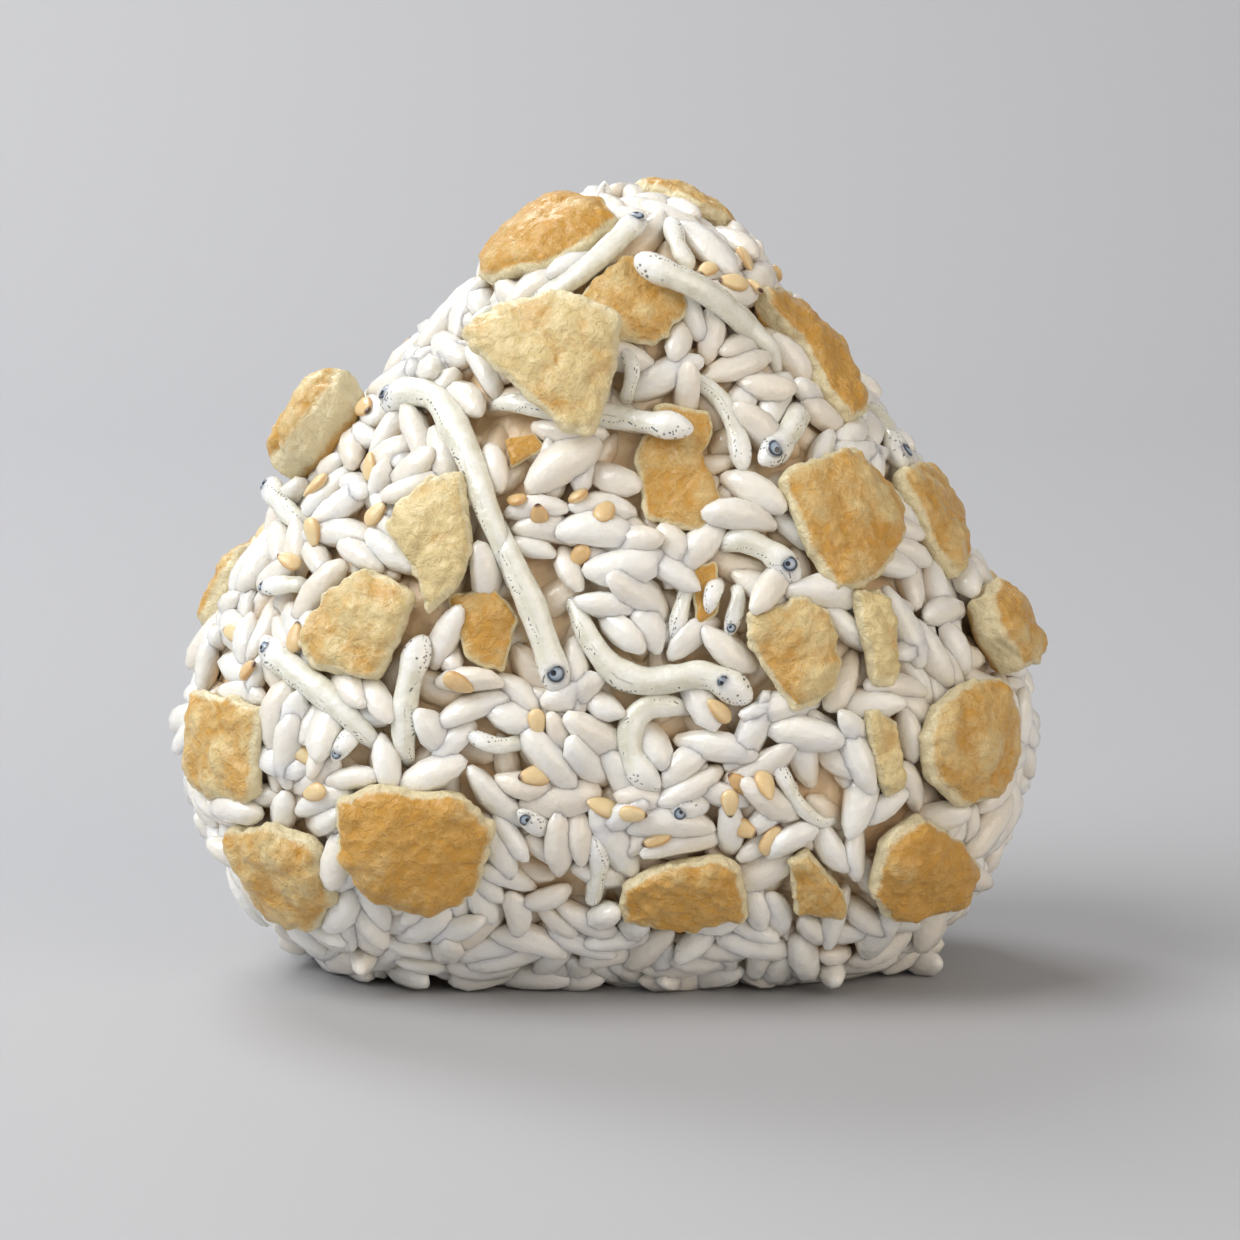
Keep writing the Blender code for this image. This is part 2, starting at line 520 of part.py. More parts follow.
def keep_largest(item):
    """Drops loose scraps and sealed hollows, which are shells of their own."""
    bm = bmesh.new()
    bm.from_mesh(item.data)
    unseen = set(bm.faces)
    shells = []
    while unseen:
        queue = [unseen.pop()]
        shell = list(queue)
        while queue:
            for edge in queue.pop().edges:
                for face in edge.link_faces:
                    if face in unseen:
                        unseen.remove(face)
                        queue.append(face)
                        shell.append(face)
        shells.append(shell)
    shells.sort(key=len, reverse=True)
    for shell in shells[1:]:
        bmesh.ops.delete(bm, geom=shell, context="FACES")
    bmesh.ops.delete(bm, geom=[v for v in bm.verts if not v.link_faces], context="VERTS")
    bm.to_mesh(item.data)
    bm.free()


def fuse(core, collection):
    """Joins the grains and seeds to the core."""
    joint = core.modifiers.new("grains", "BOOLEAN")
    joint.operation = "UNION"
    joint.operand_type = "COLLECTION"
    joint.collection = collection
    joint.solver = "EXACT"
    apply_modifiers(core)
    for item in list(collection.objects):
        bpy.data.objects.remove(item)
    bpy.data.collections.remove(collection)


def flatten_foot(core, cutters):
    """Cuts the rice flat where it rests."""
    bm = bmesh.new()
    bmesh.ops.create_cube(bm, size=1.0)
    bmesh.ops.scale(bm, vec=(120 * MM, 80 * MM, 40 * MM), verts=bm.verts)
    bmesh.ops.translate(bm, vec=(0, 0, -20 * MM), verts=bm.verts)
    look = core.data.materials[0]
    block = add_object("foot_cutter", bm, cutters, look)
    block.display_type = "WIRE"
    block.hide_render = True
    cut = core.modifiers.new("foot", "BOOLEAN")
    cut.operation = "DIFFERENCE"
    cut.object = block
    cut.solver = "EXACT"
    apply_modifiers(core)


def main():
    for item in list(bpy.data.objects):
        bpy.data.objects.remove(item)
    random.seed(1)
    parts = bpy.data.collections.new("onigiri")
    cutters = bpy.data.collections.new("onigiri_cutters")
    loose = bpy.data.collections.new("onigiri_grains")
    for group in (parts, cutters, loose):
        bpy.context.scene.collection.children.link(group)

    rice_look = material("rice", RICE_WHITE, 0.35)
    toppings = []
    for number, entry in enumerate(TOFU, 1):
        name = f"fried_tofu_{number:02d}"
        toppings.append(add_object(name, tofu_slab(*entry), parts, material(name, TOFU_GOLD, 0.5)))
    for number, entry in enumerate(FISH, 1):
        name = f"whitebait_{number:02d}"
        toppings.append(whitebait(name, *entry, parts, material(name, FISH_WHITE, 0.3)))

    bpy.context.view_layer.update()
    topping_tree = tree_of(toppings)
    core = rice_core(parts, rice_look)
    grow_grains(topping_tree, tree_of([core]), loose, rice_look)
    lay_nubs(topping_tree, loose, rice_look)
    bpy.context.view_layer.update()
    lay_seeds(topping_tree, tree_of([core] + list(loose.objects)), loose, rice_look)
    bpy.context.view_layer.update()
    fuse(core, loose)
    flatten_foot(core, cutters)
    keep_largest(core)


main()
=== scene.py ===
# %% [markdown]
# # A rice ball with fried tofu, whitebait and sesame
# The real thing is a fistful of cooked short-grain rice, pressed into a rounded triangle with its toppings mixed in.
# The solids of the model are loaded first and stay where they are. Every fine piece below takes the place of one of
# them, so each piece is worked out from the same sizes as its solid.

# %% The frame of solids
import math

import bpy
import numpy as np
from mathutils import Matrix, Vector
from mathutils.bvhtree import BVHTree


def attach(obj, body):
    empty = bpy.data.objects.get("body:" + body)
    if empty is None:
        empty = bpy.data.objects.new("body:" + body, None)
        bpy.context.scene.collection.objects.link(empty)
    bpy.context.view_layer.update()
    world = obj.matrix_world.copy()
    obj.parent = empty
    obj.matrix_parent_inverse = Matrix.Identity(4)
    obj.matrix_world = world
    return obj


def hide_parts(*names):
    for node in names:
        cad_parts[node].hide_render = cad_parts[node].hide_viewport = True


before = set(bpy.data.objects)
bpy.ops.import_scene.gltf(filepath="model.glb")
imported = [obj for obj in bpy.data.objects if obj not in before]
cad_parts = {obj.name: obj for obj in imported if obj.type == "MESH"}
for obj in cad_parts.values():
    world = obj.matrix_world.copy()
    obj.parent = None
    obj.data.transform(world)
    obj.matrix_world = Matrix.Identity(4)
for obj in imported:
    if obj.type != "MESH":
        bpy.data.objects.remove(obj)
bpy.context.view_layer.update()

# %% [markdown]
# ## The skin that everything lies on
# A hand presses the rice into a form like a ball dragged over a flat triangle: wide below, narrow at the tip, a
# little full at the waist. Described this way the skin has a simple rule, so the distance of any point from it can
# be worked out for thousands of points at once. All lengths in the working are millimetres.

# %% The skin as a distance
MM = 0.001
PLATE = np.array([(-15.0, 20.5), (15.0, 20.5), (1.5, 54.0)])
PLATE_HALF = 1.0
FOOT_RADIUS = 22.5
TIP_RADIUS = 15.0
BELLY = 1.8


def plate_points(points):
    """The nearest point of the triangular plate: the nearest point of its three edges, or the point itself inside."""
    flat = points[:, [0, 2]]
    nearest = np.zeros_like(flat)
    least = np.full(len(flat), 1e9)
    inside = np.ones(len(flat), bool)
    for start, end in zip(PLATE, np.roll(PLATE, -1, axis=0)):
        edge = end - start
        share = np.clip((flat - start) @ edge / (edge @ edge), 0, 1)
        on_edge = start + share[:, None] * edge
        distance = np.linalg.norm(flat - on_edge, axis=1)
        closer = distance < least
        nearest[closer] = on_edge[closer]
        least = np.minimum(least, distance)
        inside &= edge[0] * (flat[:, 1] - start[1]) - edge[1] * (flat[:, 0] - start[0]) >= 0
    nearest[inside] = flat[inside]
    return np.column_stack([nearest[:, 0], np.clip(points[:, 1], -PLATE_HALF, PLATE_HALF), nearest[:, 1]])


def height(points):
    """Distance outside the skin: distance to the plate, less the radius there, which shrinks from foot to tip."""
    middle = plate_points(points)
    share = (middle[:, 2] - PLATE[0, 1]) / (PLATE[2, 1] - PLATE[0, 1])
    radius = FOOT_RADIUS + (TIP_RADIUS - FOOT_RADIUS) * share + BELLY * np.sin(math.pi * np.clip(share, 0, 1))
    return np.linalg.norm(points - middle, axis=1) - radius


def normals(points, step=0.05):
    """Outward directions: the slope of the distance along each axis, made one unit long."""
    slope = np.column_stack([height(points + step * e) - height(points - step * e) for e in np.eye(3)])
    return slope / np.maximum(np.linalg.norm(slope, axis=1, keepdims=True), 1e-6)


def settle(points, level=0.0, rounds=6):
    """Moves points along the normals until they lie at a level over the skin."""
    for _ in range(rounds):
        points = points - (height(points) - level)[:, None] * normals(points)
    return points


print("widest at the skin: x", 2 * (PLATE[1, 0] + FOOT_RADIUS), "mm, tip at z", PLATE[2, 1] + TIP_RADIUS, "mm")

# %% [markdown]
# ## Finding a place on a side
# A topping is placed as a cook sees it, by two coordinates on one side of the ball. A march from outside towards
# the ball finds the third. At that place a rightward and an upward direction along the skin lay out the piece.

# %% Places and directions
FAR_OUT = 110.0
MARCH_STEPS, MARCH_SHARE = 70, 0.9
FACES = {
    "front": ((1, 0, 0), (0, 0, 1), (0, 1, 0)),
    "back": ((1, 0, 0), (0, 0, 1), (0, -1, 0)),
    "left": ((0, 1, 0), (0, 0, 1), (1, 0, 0)),
    "right": ((0, 1, 0), (0, 0, 1), (-1, 0, 0)),
    "top": ((1, 0, 0), (0, 1, 0), (0, 0, -1)),
}


def skin_points(face, first, second):
    """Skin points seen at two coordinates of a face: starts far out and steps inward by 0.9 of the distance left."""
    across, up, inward = (np.array(a, float) for a in FACES[face])
    points = np.outer(first, across) + np.outer(second, up) - FAR_OUT * inward
    for _ in range(MARCH_STEPS):
        points = points + np.maximum(height(points), 0)[:, None] * MARCH_SHARE * inward
    return points


def tangents(normal):
    """Rightward and upward unit directions along the skin, seen from outside."""
    right = np.cross([0.0, 0.0, 1.0], normal)
    right /= np.linalg.norm(right, axis=-1, keepdims=True)
    return right, np.cross(normal, right)


def smooth_path(points, count):
    """Even steps along a curve through the points: each stretch is a cubic that leaves a point along its neighbours."""
    knots = np.array(points, float)
    padded = np.vstack([2 * knots[0] - knots[1], knots, 2 * knots[-1] - knots[-2]])
    t = np.linspace(0, 1, 12, endpoint=False)[:, None]
    fine = []
    for a, b, c, d in zip(padded, padded[1:], padded[2:], padded[3:]):
        bend, twist = 2 * a - 5 * b + 4 * c - d, 3 * b - a - 3 * c + d
        fine.append(0.5 * (2 * b + (c - a) * t + bend * t * t + twist * t ** 3))
    fine = np.vstack(fine + [knots[-1:]])
    steps = np.concatenate([[0], np.cumsum(np.linalg.norm(np.diff(fine[:, :3], axis=0), axis=1))])
    wanted = np.linspace(0, steps[-1], count)
    return np.column_stack([np.interp(wanted, steps, fine[:, k]) for k in range(fine.shape[1])])


print("middle of the front lies at y", round(float(skin_points("front", [0.0], [30.0])[0, 1]), 1), "mm")

# %% [markdown]
# ## Unevenness
# Nothing in food is even. A soft noise gives every piece its dents: random values sit on a lattice, and a point
# takes a smooth blend of the eight around it. Layers of it in falling sizes give lumps, wrinkles and pores.

# %% Soft noise
def soft_noise(points, size, seed=0):
    """Noise from -1 to 1: lattice values hashed from whole-number places, blended by 3t^2 - 2t^3 on each axis."""
    turned = points @ np.array([(0.8, 0.48, 0.36), (-0.6, 0.64, 0.48), (0, -0.6, 0.8)]).T
    cell = turned / size + seed * 7.31
    base = np.floor(cell).astype(np.int64)
    part = cell - base
    blend = part * part * (3 - 2 * part)
    total = np.zeros(points.shape[:-1])
    for corner in np.ndindex(2, 2, 2):
        place = (base + corner + 4096) * np.array([73856093, 19349663, 83492791])
        mixed = (place[..., 0] ^ place[..., 1] ^ place[..., 2]) & 0xFFFFFFFF
        mixed = ((mixed ^ (mixed >> 13)) * 1274126177) & 0xFFFFFFFF
        value = ((mixed ^ (mixed >> 16)) & 0xFFFF) / 32767.5 - 1
        weight = np.prod(np.where(corner, blend, 1 - blend), axis=-1)
        total += value * weight
    return total


print("noise at three points:", soft_noise(np.eye(3) * 5, 2.0).round(2))

# %% [markdown]
# ## From rings of points to a closed piece
# Grains, seeds, fish and tofu are all closed skins that can be wound as rings between two end points. One function
# turns any number of such skins into one mesh. It measures the enclosed volume, and if that comes out negative the
# faces pointed inward, so it turns them round.

# %% Closed skins
def ring_faces(rings, sides):
    """Faces of one skin whose points are: first tip, ring by ring, last tip."""
    ring, side = np.meshgrid(np.arange(rings - 1), np.arange(sides), indexing="ij")
    a = 1 + ring * sides + side
    b = 1 + ring * sides + (side + 1) % sides
    quads = np.stack([a, b, b + sides, a + sides], axis=-1).reshape(-1, 4)
    side = np.arange(sides)
    first = np.column_stack([np.zeros(sides, int), 1 + (side + 1) % sides, 1 + side])
    start = 1 + (rings - 1) * sides
    last = np.column_stack([np.full(sides, 1 + rings * sides), start + side, start + (side + 1) % sides])
    return quads, np.vstack([first, last])


def closed_skins(form, first_tips, last_tips):
    """Points and faces of many like skins: form is (skins, rings, sides, 3), with one tip at each end."""
    count, rings, sides = form.shape[:3]
    points = np.concatenate([first_tips[:, None], form.reshape(count, -1, 3), last_tips[:, None]], axis=1)
    quads, triangles = ring_faces(rings, sides)
    a, b, c = (points[0][triangles[:, k]] - points[0].mean(axis=0) for k in range(3))
    volume = np.einsum("ij,ij->i", a, np.cross(b, c)).sum()
    corners = [points[0][quads[:, k]] - points[0].mean(axis=0) for k in range(4)]
    volume += np.einsum("ij,ij->i", corners[0], np.cross(corners[1], corners[2])).sum()
    volume += np.einsum("ij,ij->i", corners[0], np.cross(corners[2], corners[3])).sum()
    if volume < 0:
        quads, triangles = quads[:, ::-1], triangles[:, ::-1]
    shift = (np.arange(count) * points.shape[1])[:, None, None]
    quads = (quads[None] + shift).reshape(-1, 4)
    triangles = (triangles[None] + shift).reshape(-1, 3)
    return points.reshape(-1, 3), quads.tolist() + triangles.tolist()


def with_tips(values, first, last):
    """A value for each point of closed_skins, from values on the rings and one value for each tip."""
    count = values.shape[0]
    return np.concatenate([np.full((count, 1), first), values.reshape(count, -1), np.full((count, 1), last)], axis=1)


def one_skin(form):
    """Points and faces of a single skin, whose tips are the middles of its first and its last ring."""
    return closed_skins(form[None], form[0].mean(axis=0)[None], form[-1].mean(axis=0)[None])


# %% A mesh that takes the place of a solid
def link_mesh(name, points, faces, look):
    """A smooth mesh object at the origin, from points in metres."""
    mesh = bpy.data.meshes.new(name)
    mesh.from_pydata(points.tolist(), [], faces)
    mesh.shade_smooth()
    mesh.materials.append(look)
    made = bpy.data.objects.new(name, mesh)
    bpy.context.scene.collection.objects.link(made)
    return made


def make_piece(name, points, faces, look, nodes, values=()):
    """A piece from points in millimetres, none under the floor, that rides on the ball in place of its nodes."""
    points = np.column_stack([points[:, :2], np.maximum(points[:, 2], 0.0)])
    piece = link_mesh(name, points * MM, faces, look)
    for label, numbers in dict(values).items():
        kept = piece.data.attributes.new(label, "FLOAT", "POINT")
        kept.data.foreach_set("value", np.ravel(numbers).astype(np.float32))
    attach(piece, "root")
    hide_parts(*nodes)
    return piece


print("a skin of 3 rings with 4 sides has", sum(map(len, ring_faces(3, 4))), "faces")


# %% [markdown]
# ## Writing finishes as sums
# A finish is a small network of nodes. Written node by node it is hard to read, so a wire from a node is wrapped:
# adding or multiplying two wires adds the Math node that does it. One method makes every other node.

# %% The finish kit
class Wire:
    """One output of a node, which can be used in sums."""

    def __init__(self, finish, socket):
        self.finish, self.socket = finish, socket

    def maths(self, kind, *terms):
        return self.finish.node("ShaderNodeMath", {"operation": kind}, terms)

    def __add__(self, other):
        return self.maths("ADD", self, other)

    def __sub__(self, other):
        return self.maths("SUBTRACT", self, other)

    def __rsub__(self, other):
        return self.maths("SUBTRACT", other, self)

    def __mul__(self, other):
        return self.maths("MULTIPLY", self, other)

    __radd__ = __add__
    __rmul__ = __mul__

    def size(self):
        """The amount without its sign."""
        return self.maths("ABSOLUTE", self)

    def part(self):
        """What is left after the whole number is taken off."""
        return self.maths("FRACT", self)

    def between(self, low, high):
        """0 below low, 1 above high, and a smooth step between."""
        settings = {"interpolation_type": "SMOOTHSTEP"}
        return self.finish.node("ShaderNodeMapRange", settings, [self, low, high, 0.0, 1.0])


class Finish:
    """A material with one Principled shader."""

    def __init__(self, name, **constants):
        self.material = bpy.data.materials.new(name)
        self.material.use_nodes = True
        self.tree = self.material.node_tree
        self.shader = self.tree.nodes["Principled BSDF"]
        for label, value in constants.items():
            self.shader.inputs[label.replace("_", " ")].default_value = value

    def node(self, kind, settings=None, values=(), out=0):
        """Makes a node, sets its settings, then its sockets by number or name, and gives one output as a wire."""
        made = self.tree.nodes.new(kind)
        for label, value in (settings or {}).items():
            if label == "stops":
                ramp = made.color_ramp.elements
                while len(ramp) < len(value):
                    ramp.new(0.5)
                for stop, (place, colour) in zip(ramp, value):
                    stop.position, stop.color = place, (*colour, 1)
            else:
                setattr(made, label, value)
        pairs = values.items() if isinstance(values, dict) else enumerate(values)
        for label, value in pairs:
            self.put(made.inputs[label], value)
        return Wire(self, made.outputs[out])

    def put(self, socket, value):
        """Links a wire to a socket, or sets a plain value on it."""
        if isinstance(value, Wire):
            self.tree.links.new(value.socket, socket)
        else:
            socket.default_value = value

    def blend(self, share, first, second):
        """A colour between two colours."""
        first, second = (c if isinstance(c, Wire) else (*c, 1) for c in (first, second))
        return self.node("ShaderNodeMix", {"data_type": "RGBA"}, {0: share, 6: first, 7: second}, 2)

    def value(self, label):
        """A number kept on the points of the mesh."""
        return self.node("ShaderNodeAttribute", {"attribute_name": label}, (), "Fac")

    def place(self):
        """The point's own place in the object, in metres."""
        return self.node("ShaderNodeTexCoord", None, (), "Object")

    def noise(self, per_mm, detail=3.0, roughness=0.55, swirl=0.0):
        """Noise from 0 to 1 with a number of lumps for each millimetre, drawn out into threads by a swirl."""
        values = {"Vector": self.place(), "Scale": per_mm / MM, "Detail": detail, "Roughness": roughness,
                  "Distortion": swirl}
        return self.node("ShaderNodeTexNoise", None, values, "Fac")

    def bump(self, relief, depth_mm):
        """A surface direction tilted by a relief whose full range is a depth in millimetres."""
        values = {"Height": relief, "Distance": depth_mm * MM, "Strength": 1.0}
        return self.node("ShaderNodeBump", None, values, "Normal")

    def finish(self, **sockets):
        """Puts wires on the shader's sockets and gives the material."""
        for label, value in sockets.items():
            self.put(self.shader.inputs[label.replace("_", " ")], value)
        return self.material


# %% [markdown]
# ## Cooked rice
# A cooked grain is white but lets light sink in and come out a little way off, which is why a rice ball seems to
# glow. Its wet starch gives a soft gloss. Subsurface scattering gives the glow, a thin coat gives the gloss. The
# mesh keeps a number, `tone`, that is low where a grain dips between its neighbours and differs a little from grain
# to grain. Deep parts are painted tan as painted shade in the gaps; the difference from grain to grain is the rice's
# own tone.

# %% Rice finish
def rice_finish():
    look = Finish(
        "cooked_rice", Subsurface_Weight=0.6, Subsurface_Radius=(0.8, 0.75, 0.62), Subsurface_Scale=MM,
        Coat_Weight=0.6, Coat_Roughness=0.1, Specular_IOR_Level=0.5,
    )
    tone = look.value("tone")
    cloud = look.noise(0.3, 1.5)
    # painted shade: the colour turns tan where tone is low, deep in the gaps between grains; the grain-to-grain part of
    # tone is real
    colour = look.blend(tone, (0.76, 0.58, 0.37), (0.885, 0.885, 0.86))
    colour = look.blend((cloud - 0.38) * 1.1, colour, (0.81, 0.76, 0.65))
    return look.finish(Base_Color=colour, Roughness=0.22 + cloud * 0.2, Normal=look.bump(look.noise(1.0, 3.0), 0.2))


def core_finish():
    look = Finish(
        "pressed_rice_painted_shade", Subsurface_Weight=0.3, Subsurface_Radius=(1.2, 0.9, 0.6), Subsurface_Scale=MM,
        Coat_Weight=0.3, Coat_Roughness=0.2,
    )
    lumps = look.noise(0.35, 3.0)
    # painted shade: the pressed middle is tan all over, standing in for the shade deep between the grains; the lumps
    # vary it at random
    colour = look.blend(lumps, (0.72, 0.48, 0.24), (0.82, 0.68, 0.49))
    return look.finish(Base_Color=colour, Roughness=0.4 + lumps * 0.1, Normal=look.bump(lumps, 0.8))


RICE = rice_finish()
CORE = core_finish()
print("rice finish:", len(RICE.node_tree.nodes), "nodes, core:", len(CORE.node_tree.nodes))

# %% [markdown]
# ## Fried tofu
# Thin fried tofu puffs up: golden, wrinkled and oily on its fried faces, pale and spongy where a knife cut it. The
# shape numbers say which is which: `rim` is one on the cut sides, and `tone` is how deeply the piece was fried. A
# third number is high in the folds and hollows, where the finish paints shade by browning them darker.

# %% Tofu finish
def tofu_finish():
    look = Finish(
        "fried_tofu", Subsurface_Weight=0.2, Subsurface_Radius=(0.9, 0.75, 0.5), Subsurface_Scale=MM,
        Coat_Weight=0.35, Coat_Roughness=0.2, Specular_IOR_Level=0.45,
    )
    rim, tone, dent = look.value("rim"), look.value("tone"), look.value("dent")
    cloud = look.noise(0.28, 4.0, 0.6)
    speck = look.noise(1.3, 5.0, 0.7)
    tangle = look.noise(0.7, 5.0, 0.62, 0.35)
    fibres = 1 - ((tangle - 0.5).size() * 9.0).between(0.0, 1.0)
    # painted shade: the folds and hollows of each slab are browned darker, as the shade in its creases; tone and the
    # noises are the tofu's own frying
    depth = (tone * 1.2 - 0.08 + (cloud - 0.5) * 1.9 + (speck - 0.5) * 0.7 + dent * 0.45).between(0.0, 1.0)
    gold = look.blend(depth, (0.75, 0.60, 0.30), (0.63, 0.33, 0.05))
    cut = (rim * 1.1 + (speck - 0.5) * 1.3 - tone * 0.3).between(0.3, 1.0)
    colour = look.blend(cut, gold, (0.80, 0.70, 0.45))
    colour = look.blend(fibres * (0.30 - tone * 0.22), colour, (0.88, 0.76, 0.43))
    relief = fibres * 0.2 + speck * 0.7
    return look.finish(Base_Color=colour, Roughness=0.34 + speck * 0.25, Normal=look.bump(relief, 0.42))


TOFU_LOOK = tofu_finish()
print("tofu finish:", len(TOFU_LOOK.node_tree.nodes), "nodes")

# %% [markdown]
# ## Tofu pieces
# Each piece is a torn or cut slab with a cornered outline, pressed against the skin and puffed. The table gives the
# side, the place on it, how deep the inner face lies, the thickness, a slope, how brown it is, and the outline's
# corners in millimetres. These are the sizes of the solids, so each fine slab fills the space of its solid.

# %% Table of tofu
TOFU_GROWTH = 1.05
TOFU = [
    ("top", (-5.5, -6.0), -1.6, 3.0, (0, 0), 0.75,
     [(-9.5, -3), (-7, 1.5), (-5, 5), (2.5, 5), (5.6, 4), (6.2, 0.8), (4.4, -3.6), (-2.5, -6.2)]),
    ("front", (2.5, 61.5), -1.7, 2.0, (0, 0), 0.55,
     [(-5.5, 0), (-1, 4.2), (2.5, 3.5), (4.8, -1), (1.5, -4.5), (-2.5, -3.5)]),
    ("front", (-4.0, 55.5), 1.25, 2.6, (-0.04, 0.0), 0.2,
     [(-7.5, 2), (-4.5, 4.5), (0, 5.5), (4.5, 3.5), (4.5, 0), (3, -6), (1, -6), (-5.5, -0.5)]),
    ("left", (-1.0, 47.5), -1.2, 6.0, (0, 0), 0.6,
     [(-3, -4.5), (-3.2, 3), (0, 4.5), (3, 3.5), (3.5, -2), (1, -4.8)]),
    ("front", (-14.0, 40.5), -1.2, 3.0, (0.03, 0.08), 0.05,
     [(-5, 1.5), (-2, 5.5), (1.2, 6.2), (2.6, 0), (1.8, -2.5), (-0.8, -5.5), (-2, -2.5)]),
    ("front", (-21.0, 33.5), -1.5, 3.0, (0, 0), 0.35,
     [(-5.5, -1.5), (-4, 3), (0, 5), (4.2, 3), (3.4, 0), (2, -4), (-3.5, -3.3)]),
    ("front", (-10.5, 34.5), -1.7, 1.8, (0, 0), 0.7,
     [(-3.2, 2), (0.5, 2.8), (2.8, 0.5), (1.5, -4), (-1.5, -2.5)]),
    ("left", (-13.0, 22.0), -1.5, 3.0, (0, 0), 0.45,
     [(-6, 4), (2, 4.3), (6.3, 4.2), (6, -4), (-0.5, -4.3), (-5.5, -2.8)]),
    ("front", (-28.0, 11.5), -1.5, 3.3, (0, 0), 0.55,
     [(-6, 3.5), (0.5, 5), (4.5, 3.6), (5, -2), (2, -5), (-4, -5.5)]),
    ("front", (-16.0, 15.5), -1.5, 4.4, (0, 0), 0.9,
     [(-6.6, 3.3), (-4, 5), (3, 4.5), (6, 1.5), (4.5, -4), (0.5, -6.5), (-4, -5), (-6.4, -1.5)]),
    ("front", (-7.6, 49.0), -1.7, 1.1, (0, 0), 0.8,
     [(-1.4, 0.8), (1, 1.4), (2, 0), (-0.6, -1.6)]),
    ("front", (7.0, 47.5), -1.7, 1.7, (0, 0), 0.6,
     [(-2.5, 5), (2, 5), (2.2, 3), (1, 1), (2.6, -3), (1, -5.5), (-3.5, -4.5), (-4.3, 1)]),
    ("right", (-6.0, 55.0), -1.6, 3.2, (0, 0), 0.85,
     [(-4, 7), (5, 6), (6, 1.5), (1.5, -3), (0.5, -5.5), (-3, -6), (-3.5, -2.5), (-2, 2)]),
    ("front", (20.0, 42.5), -1.2, 3.2, (0, 0), 0.6,
     [(-4.8, 4.0), (-1, 5.3), (3.5, 6), (6, 3), (6, -1.5), (1, -6), (-2.2, -6), (-4.2, -2)]),
    ("front", (22.7, 33.2), -0.9, 2.8, (0, 0), 0.0,
     [(-1.6, 3), (1, 3.3), (1.4, -1), (1.4, -4), (-1, -4)]),
    ("front", (16.8, 32.0), -1.4, 3.0, (0, 0), 0.45,
     [(-4.6, 3.2), (0, 4.2), (2.3, 3), (2.6, -1), (2, -3.5), (-1, -5), (-4, -0.5)]),
    ("right", (-6.6, 41.0), -1.4, 3.0, (0, 0), 0.55,
     [(-4, 5), (4, 4.5), (6, -1), (1, -4), (-3.6, -5), (-4.8, -1)]),
    ("right", (-7.5, 31.0), -1.2, 5.0, (0, 0), 0.6,
     [(-3.5, 3.5), (1, 4), (3.5, 1), (2.5, -3.4), (-2.5, -3.4), (-4, 0)]),
    ("right", (-16.5, 23.0), -1.2, 4.0, (0, 0), 0.5,
     [(-4.2, 3.6), (0, 5), (4, 4.6), (6, 0), (2.5, -4.6), (-2, -4.6), (-5.2, -2.5), (-5.6, 1)]),
    ("front", (24.2, 22.5), -1.3, 2.6, (0, 0), 0.05,
     [(-2, 4), (0.6, 3), (0.9, -2.5), (-0.6, -3), (-1.8, 0)]),
    ("front", (27.0, 12.5), -1.4, 4.0, (0, 0), 0.95,
     [(-5, 2.5), (-1.5, 5), (1, 3.5), (6.5, -1), (5, -4), (-2.5, -4.5), (-5, -1.5)]),
    ("front", (18.0, 11.5), -1.6, 2.8, (0, 0), 0.6,
     [(-2.5, 2.3), (-1, 3.2), (2, -0.5), (2.3, -3.2), (-1.5, -3)]),
    ("front", (6.3, 11.5), -1.5, 3.4, (0, 0), 0.7,
     [(-4.8, 0), (-2, 2), (3.2, 3), (4.8, 1.8), (5.4, -3), (0, -4.5), (-4.8, -3.2)]),
    ("back", (12.0, 39.0), -1.5, 3.2, (0, 0), 0.6,
     [(-5.5, 2), (-2, 5.2), (3.5, 4.6), (5.8, -1), (2, -5.4), (-4, -4)]),
    ("back", (-9.0, 35.0), -1.5, 3.6, (0, 0), 0.8,
     [(-6, -1), (-3.5, 4.2), (2, 5), (5.5, 1), (3, -4.6), (-3, -5)]),
    ("back", (1.5, 57.0), -1.6, 3.0, (0, 0), 0.35,
     [(-5, 1), (-1, 4.8), (4, 3), (4.6, -2.4), (0, -4.5), (-4, -3)]),
    ("back", (-22.0, 22.0), -1.4, 3.8, (0, 0), 0.55,
     [(-5.5, 3), (0, 5), (5, 3.4), (5.4, -3), (-1, -5.2), (-5, -3)]),
    ("back", (22.5, 20.0), -1.5, 3.4, (0, 0), 0.75,
     [(-5, 0), (-2.4, 4.6), (3.6, 5), (5.6, 0.4), (2.6, -4.8), (-3.4, -4.4)]),
    ("back", (3.0, 22.0), -1.5, 3.0, (0, 0), 0.3,
     [(-4.6, 2.6), (1, 4.6), (5, 1.6), (4.4, -3.4), (-2, -4.6)]),
    ("back", (-14.0, 50.0), -1.5, 2.8, (0, 0), 0.65,
     [(-4, 2), (1, 4.6), (4.4, 0.6), (2, -4.2), (-3, -3.6)]),
    ("back", (-6.5, 11.0), -1.5, 3.2, (0, 0), 0.5,
     [(-5, 1.4), (-1, 4), (4.6, 3), (5, -2.4), (-1, -4), (-4.6, -2.6)]),
    ("left", (8.0, 32.0), -1.4, 3.6, (0, 0), 0.7,
     [(-5, 2), (-1, 5), (4.4, 3.4), (5, -2), (0.6, -5), (-4, -3.6)]),
    ("right", (9.0, 30.5), -1.5, 3.2, (0, 0), 0.4,
     [(-4, 4), (2.4, 4.6), (5, 0), (2.6, -4.4), (-4, -3.6)]),
    ("top", (7.0, 4.5), -1.6, 2.8, (0, 0), 0.6,
     [(-4.4, 1.6), (0, 4.6), (4.6, 2.4), (4, -3), (-1, -4.6), (-4.4, -2.4)]),
]
print("tofu on the front:", sum(entry[0] == "front" for entry in TOFU), "of", len(TOFU))

